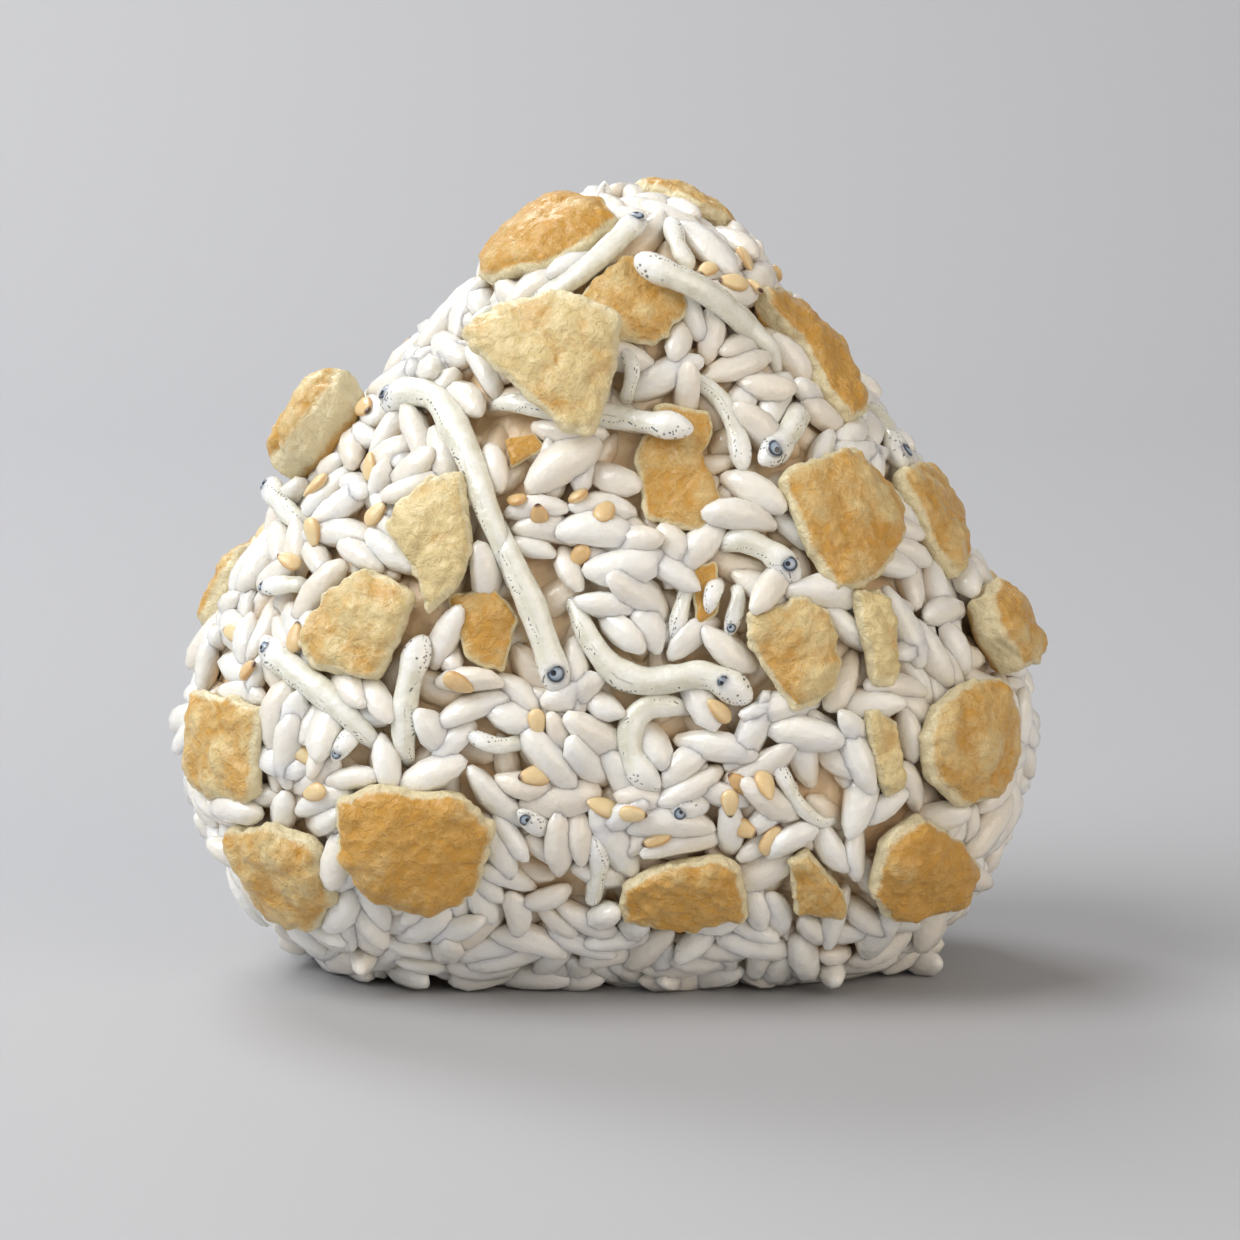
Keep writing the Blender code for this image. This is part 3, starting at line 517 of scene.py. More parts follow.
# %% [markdown]
# A slab is a flattened ball whose equator follows the outline. Raising the ball's sines to a small power squares
# it off into two faces and a wall. The noise then puffs and wrinkles the faces, and frays the cut wall. The slab is
# lifted along directions taken over a wide step of 2 mm. Where the skin bends sharply, narrow ones would cross and
# slit the slab open.

# %% Outline and profile of a slab
def grid_normals(form):
    """Outward directions on rings of points: the cross product of the steps along and around."""
    along = np.gradient(form, axis=0)
    around = np.roll(form, -1, axis=1) - np.roll(form, 1, axis=1)
    outward = np.cross(around, along)
    outward /= np.maximum(np.linalg.norm(outward, axis=-1, keepdims=True), 1e-9)
    middle = form.mean(axis=(0, 1))
    return outward * np.sign(np.sum(outward * (form - middle)))


def slab_profile(reach, thick, rings):
    """Spread and rise of each ring: a squared-off half circle, walked in steps that are even on the upper side."""
    lat = np.linspace(-1, 1, 4001)[1:-1] * math.pi / 2
    spread, rise = np.cos(lat) ** 0.6, np.sign(lat) * np.abs(np.sin(lat)) ** 0.82
    step = np.hypot(np.diff(spread) * reach, np.diff(rise) * thick / 2) * np.where(rise[1:] > -0.5, 1.0, 0.4)
    walked = np.concatenate([[0], np.cumsum(step)])
    wanted = np.linspace(0, walked[-1], rings + 2)[1:-1]
    return np.interp(wanted, walked, spread), np.interp(wanted, walked, rise)


def slab_outline(number, outline, sides):
    """The torn edge of a slab: its corners joined, rounded off a little and frayed by noise."""
    corners = np.array(outline, float) * TOFU_GROWTH
    if len(corners) < 6:
        halves = (corners + np.roll(corners, -1, axis=0)) / 2 * 1.06
        corners = np.stack([corners, halves], axis=1).reshape(-1, 2)
    turn = np.linspace(0, len(corners), sides, endpoint=False)
    low = turn.astype(int)
    edge = corners[low] + (corners[(low + 1) % len(corners)] - corners[low]) * (turn - low)[:, None]
    for _ in range(6):
        edge = (np.roll(edge, 1, axis=0) + edge * 2 + np.roll(edge, -1, axis=0)) / 4
    place = np.column_stack([edge, np.full(sides, number * 9.0)])
    return edge * (1.03 + 0.06 * soft_noise(place, 2.6) + 0.03 * soft_noise(place, 0.9, 3))[:, None]


# %% Tofu slabs
WIDE_STEP = 2.0
FULL_PUFF = 2.6


def tofu_slab(number, face, place, level, thick, slope, tone, outline, sides=136, rings=54):
    """Rings of a slab: skin + normal * (level + thick * rise + slope), plus puff, folds and pores by noise."""
    edge = slab_outline(number, outline, sides)
    spread, rise = slab_profile(np.linalg.norm(edge, axis=1).mean(), thick, rings)
    centre = skin_points(face, [place[0]], [place[1]])[0]
    right, up = tangents(normals(centre[None])[0])
    flat = spread[:, None, None] * edge[None]
    base = settle((centre + flat[..., :1] * right + flat[..., 1:] * up).reshape(-1, 3))
    lift = level + thick * (0.5 + 0.5 * rise[:, None]) + flat @ np.array(slope, float)
    form = (base + lift.reshape(-1, 1) * normals(base, WIDE_STEP)).reshape(rings, sides, 3)
    outward = grid_normals(form)
    wall = np.clip(1.3 - np.abs(rise) * 1.5, 0, 1)[:, None]
    puff = 0.5 * soft_noise(form, 4.4, number) + 0.16 * soft_noise(form, 1.9, number + 50)
    folds = 0.22 * (1 - np.abs(soft_noise(form, 3.1, number + 90)) * 2.6).clip(-0.6, 1)
    pores = 0.15 * soft_noise(form, 0.85, number + 130) + 0.09 * soft_noise(form, 0.5, number + 170)
    rough = (puff - folds) * (1 - 0.45 * wall) + pores * (1 + 1.3 * wall)
    upper = np.clip(0.6 + rise, 0.25, 1)[:, None]
    form = form + outward * (rough * upper * min(1.0, thick / FULL_PUFF))[..., None]
    share = np.linalg.norm(flat, axis=-1) / np.linalg.norm(edge, axis=-1)
    rim = np.clip(1.25 - np.abs(rise) * 1.5, 0, 1)[:, None] + np.clip(share * 3 - 2.45, 0, 0.6)
    # the third value is high in the folds and hollows, where the finish paints shade
    return form, rim, np.clip(folds * 2.5 - puff, -1, 1)


def tofu_piece(name, node, number, entry, **detail):
    """One slab, closed at both ends, with the numbers that its finish reads."""
    form, rim, dent = tofu_slab(number, *entry, **detail)
    points, faces = one_skin(form)
    values = {
        "rim": with_tips(rim[None], 0.0, 0.0), "dent": with_tips(dent[None], 0.0, 0.0),
        "tone": np.full(len(points), entry[5]),
    }
    return make_piece(name, points, faces, TOFU_LOOK, [node], values)


tofu_pieces = []
for number, entry in enumerate(TOFU, 1):
    tofu_pieces.append(tofu_piece(f"tofu_{number:02d}", f"fried_tofu_{number:02d}", number, entry))
print("tofu pieces:", len(tofu_pieces), "with", len(tofu_pieces[0].data.polygons), "faces each")

# %% [markdown]
# Two scraps are too small for a solid of their own and lie between the grains. They are slabs like the others, with
# fewer faces, and take the place of the rice.

# %% Scraps of tofu
SCRAP_NOISE = 60
SCRAPS = [
    ("front", (8.1, 36.8), -1.5, 1.5, (0, 0), 0.9, [(-1.3, 2.1), (1.1, 2.6), (1.4, -1.5), (-0.4, -2.7)]),
    ("front", (-32.4, 36.0), -0.9, 1.1, (0, 0), 0.05, [(-1.6, 0.8), (0.8, 1.3), (1.7, -0.6), (-0.6, -1.3)]),
]
for number, entry in enumerate(SCRAPS, 1):
    tofu_pieces.append(tofu_piece(f"tofu_scrap_{number}", "rice", number + SCRAP_NOISE, entry, sides=64, rings=26))
print("tofu scraps:", len(SCRAPS))

# %% [markdown]
# ## Whitebait
# Boiled whitebait is milk-white and half clear, with a row of tiny dark dots along the belly, a few spots on the
# head and a round silver-blue eye. It lies on its side. The finish reads numbers kept on the mesh: `along`, the
# distance from the snout in millimetres, `belly` from -1 at the back to 1 at the belly, `out` from -1 on the hidden
# flank to 1 on the seen one, and `eye` and `pupil`, which are below one only on the eye and fall towards its middle.

# %% Whitebait finish
def fish_finish():
    look = Finish(
        "boiled_whitebait", Subsurface_Weight=0.6, Subsurface_Radius=(1.2, 1.15, 1.0), Subsurface_Scale=MM,
        Coat_Weight=0.7, Coat_Roughness=0.1, Specular_IOR_Level=0.5,
    )
    along, belly, out = look.value("along"), look.value("belly"), look.value("out")
    eye, pupil = look.value("eye"), look.value("pupil")
    cloud, wander = look.noise(0.7, 3.0), look.noise(0.45, 2.0) - 0.5
    head = 1 - along.between(1.6, 4.0)
    flesh = look.blend(cloud.between(0.32, 0.68), (0.73, 0.72, 0.61), (0.88, 0.88, 0.80))
    flesh = look.blend((1 - (belly + 0.25).size().between(0.1, 0.6)) * 0.55, flesh, (0.94, 0.95, 0.91))
    flesh = look.blend(head * 0.5, flesh, (0.95, 0.97, 0.98))
    # a row of dots every 0.4 mm or so near the belly edge, some larger, some missing
    beat = ((along * 2.2 + wander * 9.0).part() - 0.5).size() * 0.45
    off = (belly - 0.6 - wander * 1.7).size() * 1.2
    dot = 1 - (beat * beat + off * off).between(0.001, 0.014)
    thread = (1 - (belly - 0.18 - wander * 0.7).size().between(0.02, 0.10)) * along.between(3.0, 5.0) * 0.4
    line = dot * cloud.between(0.40, 0.52) + thread * cloud.between(0.45, 0.6)
    place = look.node("ShaderNodeCombineXYZ", None, [along * 1.5, belly * 1.9, out])
    cells = look.node(
        "ShaderNodeTexVoronoi", {"feature": "F1"}, {"Vector": place, "Scale": 1.25, "Randomness": 1.0}, "Distance")
    freckles = (1 - cells.between(0.16, 0.30)) * head * look.noise(0.75, 1.0).between(0.46, 0.54)
    marks = (line + freckles) * out.between(-0.15, 0.15)
    flesh = look.blend(marks.between(0.0, 0.9) * 0.78, flesh, (0.06, 0.055, 0.06))
    iris = look.node("ShaderNodeValToRGB", {"stops": [
        (0.0, (0.55, 0.64, 0.74)), (0.45, (0.42, 0.52, 0.64)), (0.62, (0.20, 0.28, 0.38)), (0.72, (0.03, 0.035, 0.05)),
        (0.84, (0.06, 0.07, 0.10)), (0.93, (0.70, 0.73, 0.74))]}, [eye])
    iris = look.blend(1 - pupil.between(0.26, 0.38), iris, (0.01, 0.012, 0.02))
    colour = look.blend(eye.between(0.94, 1.0), iris, flesh)
    return look.finish(Base_Color=colour, Roughness=0.16 + cloud * 0.18, Normal=look.bump(look.noise(1.6, 3.0), 0.16))


FISH_LOOK = fish_finish()
print("whitebait finish:", len(FISH_LOOK.node_tree.nodes), "nodes")

# %% [markdown]
# Each fish has a row: its side, the greatest radius, which side the belly is on (1 or -1), how far the eye is from
# the snout and its radius, and the points from snout to tail. A point is two places on the side and a level over the
# skin. An eye with no radius is hidden.

# %% Table of whitebait
FISH = [
    ("front", 1.4, -1, (1.2, 0.85), [(-19.5, 51.0, 0.1), (-17.2, 52.4, 0.2), (-14.8, 52.3, 0.1), (-13.2, 50.4, 0),
     (-11.6, 47.4, 0), (-10.5, 44.4, 0), (-9.5, 42.0, 0), (-8.6, 39.6, 0), (-7.9, 37.4, -0.1)]),
    ("front", 1.35, 1, (1.7, 0.85), [(-4.0, 28.5, -0.1), (-4.6, 30.6, 0), (-5.4, 33, -0.1), (-6.5, 36, 0),
     (-7.6, 38.4, 0), (-8.7, 41, 0), (-9.4, 43, -0.1)]),
    ("front", 1.35, 1, (2.6, 0.62), [(12.2, 27.8, -0.2), (10, 29.3, -0.1), (8, 30, -0.3), (5.6, 29.7, -0.4),
     (3, 29.5, -0.5), (0.5, 30.5, -0.5), (-1.5, 33, -0.6), (-2.6, 35.4, -0.7), (-3.4, 37, -0.8)]),
    ("front", 0.75, 1, (0.8, 0.0), [(5.7, 32.6, -0.5), (6.0, 34.5, -0.6), (6.5, 36.5, -0.8), (7.0, 38.6, -0.9)]),
    ("front", 1.2, 1, (1.7, 0.75), [(16.2, 37.6, -0.1), (15.2, 39.0, 0), (13.6, 40.4, -0.2), (11.5, 41.3, -0.5),
     (9.6, 41, -0.8)]),
    ("front", 1.3, 1, (1.6, 0.0), [(2.3, 63.6, 1.8), (4, 62.6, 1.9), (6.4, 61.6, 1.8), (9, 60.5, 0.9),
     (11.8, 58.6, 0), (14.2, 56.6, -0.2), (15.8, 54.8, -0.6)]),
    ("front", 1.2, -1, (1.6, 0.85), [(13.0, 47.4, 0), (14.4, 48.5, 0), (16.0, 50.3, -0.2), (17.2, 52.2, -0.6)]),
    ("front", 0.95, 1, (1.0, 0.0), [(11.7, 47.0, -0.5), (11.2, 50, -0.6), (10.2, 52.4, -0.6), (8.6, 54, -0.7),
     (7, 54.7, -0.8), (5.5, 54.5, -0.9)]),
    ("front", 1.15, 1, (1.0, 0.0), [(7.2, 50.0, 1.3), (4.8, 50.5, 1.2), (2.4, 51, 0.2), (-0.5, 51.6, -0.3),
     (-4, 52, -0.4), (-7.5, 52.5, -0.4), (-10.8, 52.8, -0.7)]),
    ("front", 1.1, -1, (1.2, 0.7), [(3.0, 67.6, -0.2), (1.5, 66.4, 0), (-0.1, 65, 0), (-2, 63.5, -0.2),
     (-4.4, 62, -0.4), (-6.4, 60.4, -0.5), (-8, 58.8, -0.5), (-9.5, 57, -0.6), (-10.8, 55.6, -0.9)]),
    ("front", 0.9, 1, (1.0, 0.0), [(5.6, 67.6, -0.5), (6.0, 66.2, -0.5), (6.7, 64.9, -0.7), (7.8, 64, -0.9)]),
    ("right", 1.2, 1, (1.5, 0.8), [(-7.5, 45.5, 0), (-5.5, 47.4, 0), (-3.2, 49, -0.3), (-1.4, 51.2, -0.7)]),
    ("front", 1.35, -1, (1.3, 0.6), [(-29.6, 31.3, 0), (-28.4, 30.5, 0.1), (-26.5, 29.3, -0.1), (-24.5, 28, -0.3),
     (-22.5, 26.5, -0.4), (-21, 25, -0.5), (-19.7, 23.6, -0.8)]),
    ("front", 1.2, 1, (1.0, 0.0), [(-15.6, 33.3, -0.6), (-16.4, 31.4, -0.4), (-17, 29, -0.4), (-17.4, 26.6, -0.5),
     (-17.4, 24.2, -0.6), (-17.1, 22.2, -0.9)]),
    ("front", 1.2, 1, (1.2, 0.0), [(4.4, 20.2, -0.2), (3.0, 21.6, -0.2), (2, 23.6, -0.4), (2.1, 25.8, -0.5),
     (3.5, 27.2, -0.6), (5.4, 27.3, -0.7), (7.2, 26.8, -0.9)]),
    ("front", 0.7, 1, (0.8, 0.45), [(10.2, 33.2, -0.6), (10.7, 34.8, -0.6), (11.1, 36.2, -0.8), (11.1, 37.6, -0.9)]),
    ("front", 0.85, 1, (1.0, 0.0), [(-1.2, 16.0, -0.5), (-0.7, 13.6, -0.5), (-1.1, 10.6, -0.6), (-1.5, 8.4, -0.8)]),
    ("front", 0.7, 1, (1.0, 0.0), [(14.0, 23.0, -0.8), (15.2, 20.8, -0.6), (16.4, 18.7, -0.6), (18.2, 17.1, -0.8),
     (20, 16.7, -0.9)]),
    ("left", 1.1, 1, (1.1, 0.6), [(-1.5, 42.4, 2.2), (-3.4, 42, 1.3), (-6, 41.5, 0), (-9, 41.2, -0.7)]),
    ("back", 1.2, 1, (1.5, 0.8), [(-4.0, 45.5, 0), (-2, 46.6, 0), (0.6, 46.8, -0.3), (3.2, 45.6, -0.5),
                                  (5, 43.4, -0.6), (5.2, 40.6, -0.8)]),
    ("back", 1.15, -1, (1.6, 0.8), [(13.0, 28.8, 0), (10.8, 29.8, 0), (8, 30, -0.4), (5.2, 31, -0.4), (3, 33.2, -0.5),
     (1.6, 36, -0.8)]),
    ("back", 1.1, 1, (1.4, 0.75), [(-12.5, 21.5, 0), (-11.6, 23.8, 0), (-9.5, 25.6, -0.4), (-6.5, 26, -0.5),
     (-3.8, 26.8, -0.8)]),
    ("back", 1.15, 1, (1.5, 0.8), [(9.5, 51.5, 0), (8, 49.4, 0), (8.4, 47, -0.5), (10.4, 46.2, -0.8)]),
    ("back", 1.05, -1, (1.3, 0.7), [(9.0, 13.5, -0.2), (11.2, 12.6, -0.2), (13.8, 13, -0.5), (16.4, 12, -0.8)]),
]
print("whitebait on the front:", sum(entry[0] == "front" for entry in FISH), "of", len(FISH))

# %% [markdown]
# The body is an oval carried along the path. Girth rises over the head, pinches at the neck, swells over the
# belly and runs out to a thin tail, which dives into the rice. The eye is a flattened ball let into the upper flank.

# %% Whitebait bodies
HEAD_LENGTH = 3.8
TAIL_DIVE = 1.3
HEAD_GIRTH = [(0, 0.22), (0.25, 0.50), (0.7, 0.78), (1.4, 1.0), (2.2, 1.08), (3.0, 1.0), (3.8, 0.88)]
BODY_GIRTH = [(0, 0.88), (0.3, 0.96), (0.6, 0.86), (0.85, 0.62), (1, 0.42)]
FLATTEN = [(0, 0.8), (0.2, 0.84), (0.8, 0.8), (1, 0.6)]


def fish_rings(face, girth, belly_side, points, stations, sides):
    """Rings of a fish: an oval across the path, wide along the skin and flatter outward, with its measures."""
    path = smooth_path(points, stations)
    dive = np.clip((np.linspace(0, 1, stations) - 0.8) / 0.2, 0, 1) ** 2
    places = skin_points(face, path[:, 0], path[:, 1])
    outward = normals(places)
    middle = places + (path[:, 2] - TAIL_DIVE * dive)[:, None] * outward
    along = np.gradient(middle, axis=0)
    along /= np.linalg.norm(along, axis=1, keepdims=True)
    outward = outward - along * np.sum(outward * along, axis=1, keepdims=True)
    outward /= np.linalg.norm(outward, axis=1, keepdims=True)
    across = np.cross(outward, along) * belly_side
    distance = np.concatenate([[0], np.cumsum(np.linalg.norm(np.diff(middle, axis=0), axis=1))])
    body = np.clip((distance - HEAD_LENGTH) / max(distance[-1] - HEAD_LENGTH, 1.0), 0, 1)
    girths = np.interp(distance, *zip(*HEAD_GIRTH)), np.interp(body, *zip(*BODY_GIRTH))
    wide = girth * np.where(distance < HEAD_LENGTH, *girths)
    high = wide * np.interp(distance / distance[-1], *zip(*FLATTEN))
    turn = np.linspace(0, 2 * math.pi, sides, endpoint=False)
    wide = wide[:, None] * (1 + 0.10 * soft_noise(middle, 1.8, 11))[:, None]
    form = middle[:, None] + np.cos(turn)[None, :, None] * (high[:, None] * outward)[:, None]
    form = form + np.sin(turn)[None, :, None] * (wide * across)[:, None]
    form = form + outward[:, None] * (0.13 * soft_noise(form, 1.3, 3))[..., None]
    full = np.ones((stations, sides))
    measures = {
        "along": distance[:, None] * full, "belly": np.sin(turn) * full, "out": np.cos(turn) * full,
        "eye": full, "pupil": full,
    }
    return form, measures, (middle, outward, across, high, distance)


# %% Eyes
EYE_HEIGHT = 0.5
PUPIL_SHIFT, PUPIL_TIP = (0.16, 0.22), 0.27


def eye_ball(lines, where, radius, rings=11, sides=24):
    """A flattened ball in the upper flank: a full radius along the skin, half of it outward, the pupil off centre."""
    middle, outward, across, high, distance = lines
    spot = int(np.searchsorted(distance, where))
    along = np.cross(across[spot], outward[spot])
    centre = middle[spot] + outward[spot] * (high[spot] * 0.84 - radius * 0.16) - across[spot] * radius * 0.12
    lat = np.linspace(0, math.pi, rings + 2)[1:-1]
    turn = np.linspace(0, 2 * math.pi, sides, endpoint=False)
    flat = np.sin(lat)[:, None, None] * (np.cos(turn)[:, None] * along + np.sin(turn)[:, None] * across[spot])
    up = (np.cos(lat) * EYE_HEIGHT)[:, None, None] * outward[spot]
    form = centre + radius * (flat + up)
    tips = [centre + side * radius * EYE_HEIGHT * outward[spot] for side in (1, -1)]
    share = np.where(lat < math.pi / 2, np.sin(lat), 1.0)[:, None] * np.ones(sides)
    rows = np.sin(lat)[:, None]
    pupil = np.hypot(rows * np.cos(turn) - PUPIL_SHIFT[0], rows * np.sin(turn) - PUPIL_SHIFT[1])
    return form, tips, share, np.where(lat[:, None] < math.pi / 2, pupil, 1.0)


# %% Whole fish
STATIONS, FISH_SIDES = 72, 22
AT_EYE = 9.0


def fish_piece(face, girth, belly_side, eye, points):
    """One fish with its eye, as points, faces and measures."""
    form, measures, lines = fish_rings(face, girth, belly_side, points, STATIONS, FISH_SIDES)
    corners, faces = one_skin(form)
    values = {}
    for label, grid in measures.items():
        values[label] = with_tips(grid[None], grid[0].mean(), grid[-1].mean())[0]
    if eye[1] > 0:
        ball, ends, share, pupil = eye_ball(lines, *eye)
        more, more_faces = closed_skins(ball[None], ends[0][None], ends[1][None])
        faces += [[i + len(corners) for i in face] for face in more_faces]
        corners = np.vstack([corners, more])
        values["eye"] = np.concatenate([values["eye"], with_tips(share[None], 0.0, 1.0)[0]])
        values["pupil"] = np.concatenate([values["pupil"], with_tips(pupil[None], PUPIL_TIP, 1.0)[0]])
        for label, number in (("along", AT_EYE), ("belly", 0.0), ("out", 0.0)):
            values[label] = np.concatenate([values[label], np.full(len(more), number)])
    return corners, faces, values


fish_pieces = []
for number, entry in enumerate(FISH, 1):
    points, faces, values = fish_piece(*entry)
    fish_pieces.append(
        make_piece(f"fish_{number:02d}", points, faces, FISH_LOOK, [f"whitebait_{number:02d}"], values))
print("whitebait:", len(fish_pieces), "with", len(fish_pieces[0].data.polygons), "faces each")

# %% [markdown]
# Some fish are so deep in the rice that only a head or a tail end looks out. They are short fish made the same way
# and joined into one piece. In the solids they are fused to the rice, so they take the place of that node.

# %% Heads and tail ends
ENDS = [
    ("front", 0.95, 1, (0.9, 0.62), [(5.2, 18.2, 0.1), (6.6, 18.5, -0.1), (8.4, 18.8, -1.2)]),
    ("front", 0.9, 1, (0.9, 0.58), [(-7.6, 18.5, 0.1), (-6.4, 17.3, -0.1), (-5.2, 16.2, -1.3)]),
    ("front", 0.85, 1, (0.8, 0.5), [(-23.4, 22.4, 0.1), (-22.5, 23.8, -0.1), (-21.8, 25.2, -1.2)]),
    ("front", 0.8, 1, (0.7, 0.5), [(-30.0, 35.4, 0.1), (-28.6, 36.0, 0.0), (-26.8, 36.8, -1.2)]),
    ("front", 0.75, 1, (0.8, 0.0), [(8.6, 35.2, -0.4), (8.8, 36.4, 0.0), (9.3, 38.0, -0.9)]),
    ("front", 0.6, 1, (0.8, 0.0), [(-11.8, 56.9, -0.5), (-11.4, 58.4, -0.1), (-10.4, 60.2, -0.8)]),
    ("front", 0.65, 1, (0.8, 0.0), [(1.3, 57.2, -0.3), (2.1, 55.2, 0.1), (1.5, 52.6, -0.6)]),
    ("front", 0.8, 1, (0.9, 0.0), [(-12.0, 25.0, -0.5), (-9.4, 24.0, -0.2), (-6.6, 24.4, -0.8)]),
    ("top", 0.24, 1, (0.8, 0.0), [(-1.2, -2.4, -0.6), (-0.6, -2.0, 0.7), (0.2, -1.8, 1.3)]),
    ("back", 0.9, 1, (0.9, 0.6), [(-18.0, 41.0, 0.1), (-16.6, 41.6, -0.1), (-14.8, 42.4, -1.2)]),
    ("back", 0.8, 1, (0.8, 0.5), [(14.5, 22.0, 0.1), (15.6, 23.2, -0.1), (16.6, 24.8, -1.2)]),
    ("back", 0.7, 1, (0.8, 0.0), [(-3.0, 17.0, -0.6), (-0.8, 16.0, -0.1), (1.6, 16.4, -0.8)]),
]
points, faces, values = [], [], {}
for entry in ENDS:
    more, more_faces, measures = fish_piece(*entry)
    faces += [[i + sum(map(len, points)) for i in face] for face in more_faces]
    points.append(more)
    for label, numbers in measures.items():
        values.setdefault(label, []).append(numbers)
values = {label: np.concatenate(parts) for label, parts in values.items()}
fish_ends = make_piece("fish_ends", np.vstack(points), faces, FISH_LOOK, ["rice"], values)
print("fish ends:", len(ENDS))

# %% [markdown]
# ## Packing the rice
# Grains in a pressed ball lie flat against each other with few gaps, and they make way for the toppings. That is
# found by letting them push: each grain is three small balls in a row, and in every round balls that overlap move
# apart, each grain is drawn back to its own depth, and balls that touch a topping move off it. All pairs are worked
# out at once in arrays, so well over a thousand grains settle in seconds. A few large grains of the front stay where
# they are put: each has a row with its place, length, width and angle.

# %% Where grains start
GRAIN_LENGTH = 6.8
GRAIN_WIDTH = 2.7
OUTER_GRAINS, INNER_GRAINS, FOOT_GRAINS = 1150, 640, 70
DEPTHS = (1.0, 2.5)
FOOT_LEVEL = 1.3
THROWN, THROW_BOX = 900000, ((-40, -27, 0.3), (40, 27, 72))
LAYER_HALF, FIRST_SPACING, SPACING_LOSS = 0.35, 3.0, 0.99995
HELD = [
    (-0.8, 42.1, 7.6, 3.5, -4), (1.5, 39.2, 7.6, 3.9, 12), (0.0, 36.0, 6.0, 2.5, -5), (-3.9, 47.6, 8.0, 3.6, 35),
    (5.8, 40.8, 4.8, 2.4, -60), (3.5, 33.9, 4.8, 2.4, -60), (9.6, 36.3, 5.0, 2.6, 58), (-12.5, 31.3, 5.6, 2.3, -10),
    (25.7, 33.4, 8.0, 2.7, -72), (28.0, 31.0, 7.4, 2.5, -66),
]
HELD_DEPTH = 0.45


def topping_tree(pieces):
    """One search tree over the toppings' surfaces, in millimetres."""
    corners, faces = [], []
    for piece in pieces:
        start = len(corners)
        corners += [v.co / MM for v in piece.data.vertices]
        faces += [[start + i for i in p.vertices] for p in piece.data.polygons]
    return BVHTree.FromPolygons(corners, faces)


def spread_spots(rng, count, depth):
    """Places spread evenly by area: points thrown into a box and kept only in a thin layer at the wanted depth."""
    thrown = rng.uniform(*THROW_BOX, size=(THROWN, 3))
    layer = thrown[np.abs(height(thrown) + depth) < LAYER_HALF][: count * 14]
    chosen = np.full((count, 3), 1e6)
    placed, spacing = 0, FIRST_SPACING
    for spot in layer:
        if placed >= count:
            break
        if np.min(np.sum((chosen[: placed + 1] - spot) ** 2, axis=1)) > spacing * spacing:
            chosen[placed] = spot
            placed += 1
        else:
            spacing *= SPACING_LOSS
    return chosen[:placed]


# %% Grains that make way for each other
ROW = np.array([-1, 0, 1])
TOPPING_SHARE = 0.6
KEEP_GAP = 0.65
PULL = np.array([0.22, 0.45, 0.22])


def ball_rows(middle, half, along):
    """The three balls of each grain: its middle, and half a row to either side of it."""
    return middle[:, None] + ROW[None, :, None] * (half[:, None] * along)[:, None]


def pair_pushes(balls, radius, reach=7.5, softness=0.8):
    """For every two grains near each other, the moves that take their overlapping balls apart, averaged by ball."""
    middle = balls[:, 1]
    gap = np.linalg.norm(middle[:, None] - middle[None], axis=2)
    first, second = np.nonzero(np.triu(gap < reach, 1))
    a, b = balls[first][:, :, None], balls[second][:, None]
    step = a - b
    distance = np.maximum(np.linalg.norm(step, axis=-1), 1e-6)
    wanted = (radius[first] + radius[second])[:, None, None] * softness
    push = (np.maximum(wanted - distance, 0) / distance * 0.5)[..., None] * step
    moves = np.zeros(balls.shape)
    hits = np.ones(balls.shape[:2])
    for side, grains, axis in ((1, first, 2), (-1, second, 1)):
        total = push.sum(axis=axis) * side
        touched = (push != 0).any(axis=-1).sum(axis=axis)
        for k in range(3):
            hits[:, k] += np.bincount(grains, touched[:, k], len(balls))
            for j in range(3):
                moves[:, k, j] += np.bincount(grains, total[:, k, j], len(balls))
    return moves / np.maximum(hits, 1)[..., None] * 1.6


def topping_pushes(balls, radius, tree):
    """Moves off the toppings: a ball nearer than its radius goes straight away from the nearest surface point."""
    moves = np.zeros(balls.shape)
    for grain, row in enumerate(balls):
        for k in range(3):
            place = Vector(row[k])
            nearest, facing, _, distance = tree.find_nearest(place)
            inside = (place - nearest).dot(facing) < 0
            gap = radius[grain] * TOPPING_SHARE
            if inside or distance < gap:
                away = (place - nearest).normalized() * (-1 if inside else 1)
                amount = gap + (distance if inside else -distance)
                moves[grain, k] = np.array(away) * min(amount, 1.2) * 0.6
    return moves


